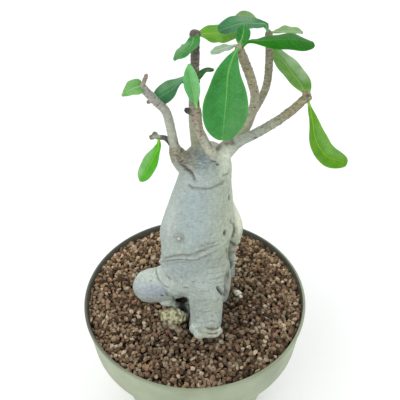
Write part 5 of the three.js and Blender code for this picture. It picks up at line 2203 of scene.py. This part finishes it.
@dataclass(frozen=True)
class SoftBox:
    """A square light that looks at the plant, with its place and size in metres."""

    name: str
    place: Point
    size: float
    watts: float

    def build(self, target: Point) -> None:
        """Hangs the light at its place.

        Args:
            target: The place that it is turned to, in metres.
        """
        data = bpy.data.lights.new(self.name, "AREA")
        data.energy = self.watts
        data.size = self.size
        light = linked(self.name, data)
        light.location = self.place
        light.rotation_euler = (Vector(target) - Vector(self.place)).to_track_quat("-Z", "Y").to_euler()


@dataclass(frozen=True)
class Studio:
    """A plain white floor under soft light that comes mostly from behind and from the sides."""

    floor_half: float = 4000.0
    floor_drop: float = 0.05
    floor_colour: Colour = (254, 254, 253)
    floor_rough: float = 0.9
    floor_shine: float = 0.5
    floor_glow: float = 0.08
    sky_colour: tuple[float, float, float, float] = (0.97, 0.985, 1.0, 1.0)
    sky_strength: float = 0.86
    target: Point = (0.0, 0.0, 0.2)
    boxes: tuple[SoftBox, ...] = (
        SoftBox("back", (0.5, 1.2, 1.3), 1.5, 4.5),
        SoftBox("key", (-0.7, -0.7, 1.2), 0.9, 5.0),
    )

    def build(self) -> None:
        """Makes the floor, the sky and the lights."""
        half = self.floor_half
        corners = np.array([(-half, -half, 0), (half, -half, 0), (half, half, 0), (-half, half, 0)], float)
        corners[:, 2] -= self.floor_drop
        floor = mesh_object("floor", corners, [(0, 1, 2, 3)])
        paint = rgba(self.floor_colour)
        glow = {"Emission_Color": paint, "Emission_Strength": self.floor_glow}
        finish = SkinGraph("floor_paint").finish(paint, self.floor_rough, self.floor_shine, **glow)
        floor.data.materials.append(finish)
        world = bpy.data.worlds.new("studio_sky")
        world.use_nodes = True
        background = world.node_tree.nodes["Background"]
        background.inputs["Color"].default_value = self.sky_colour
        background.inputs["Strength"].default_value = self.sky_strength
        bpy.context.scene.world = world
        for box in self.boxes:
            box.build(self.target)
        bpy.context.scene.view_settings.view_transform = "Standard"


def main() -> None:
    """Builds the studio and every piece, in order."""
    logging.basicConfig(level=logging.INFO, format="%(name)s: %(message)s")
    View().build()
    Studio().build()
    place_on_body(Pot().build(), "pot_plastic", "pot")
    bed, *layers = GritBed().build()
    place_on_body(bed, "grit", "grit")
    for layer in layers:
        place_on_body(layer, "grit")
    stones = LooseStones()
    pale = VolcanicGrit("pale_pebble", stops=((0.0, (160, 156, 140)), (0.5, (214, 211, 196))))
    place_on_body(stones.build("pale_stones", PALE_STONES, pale.material()), "grit")
    bright = VolcanicGrit("bright_grit")
    place_on_body(stones.build("bright_stones", BRIGHT_STONES, bright.material()), "grit")
    place_on_body(Plant().build(), "bark", "plant")
    place_on_body(LeafScars().build(), "bark")
    for number, leaf in enumerate(Foliage().build(), start=1):
        place_on_body(leaf, "leaf", f"leaf_{number:02d}")


if __name__ == "__main__":
    main()
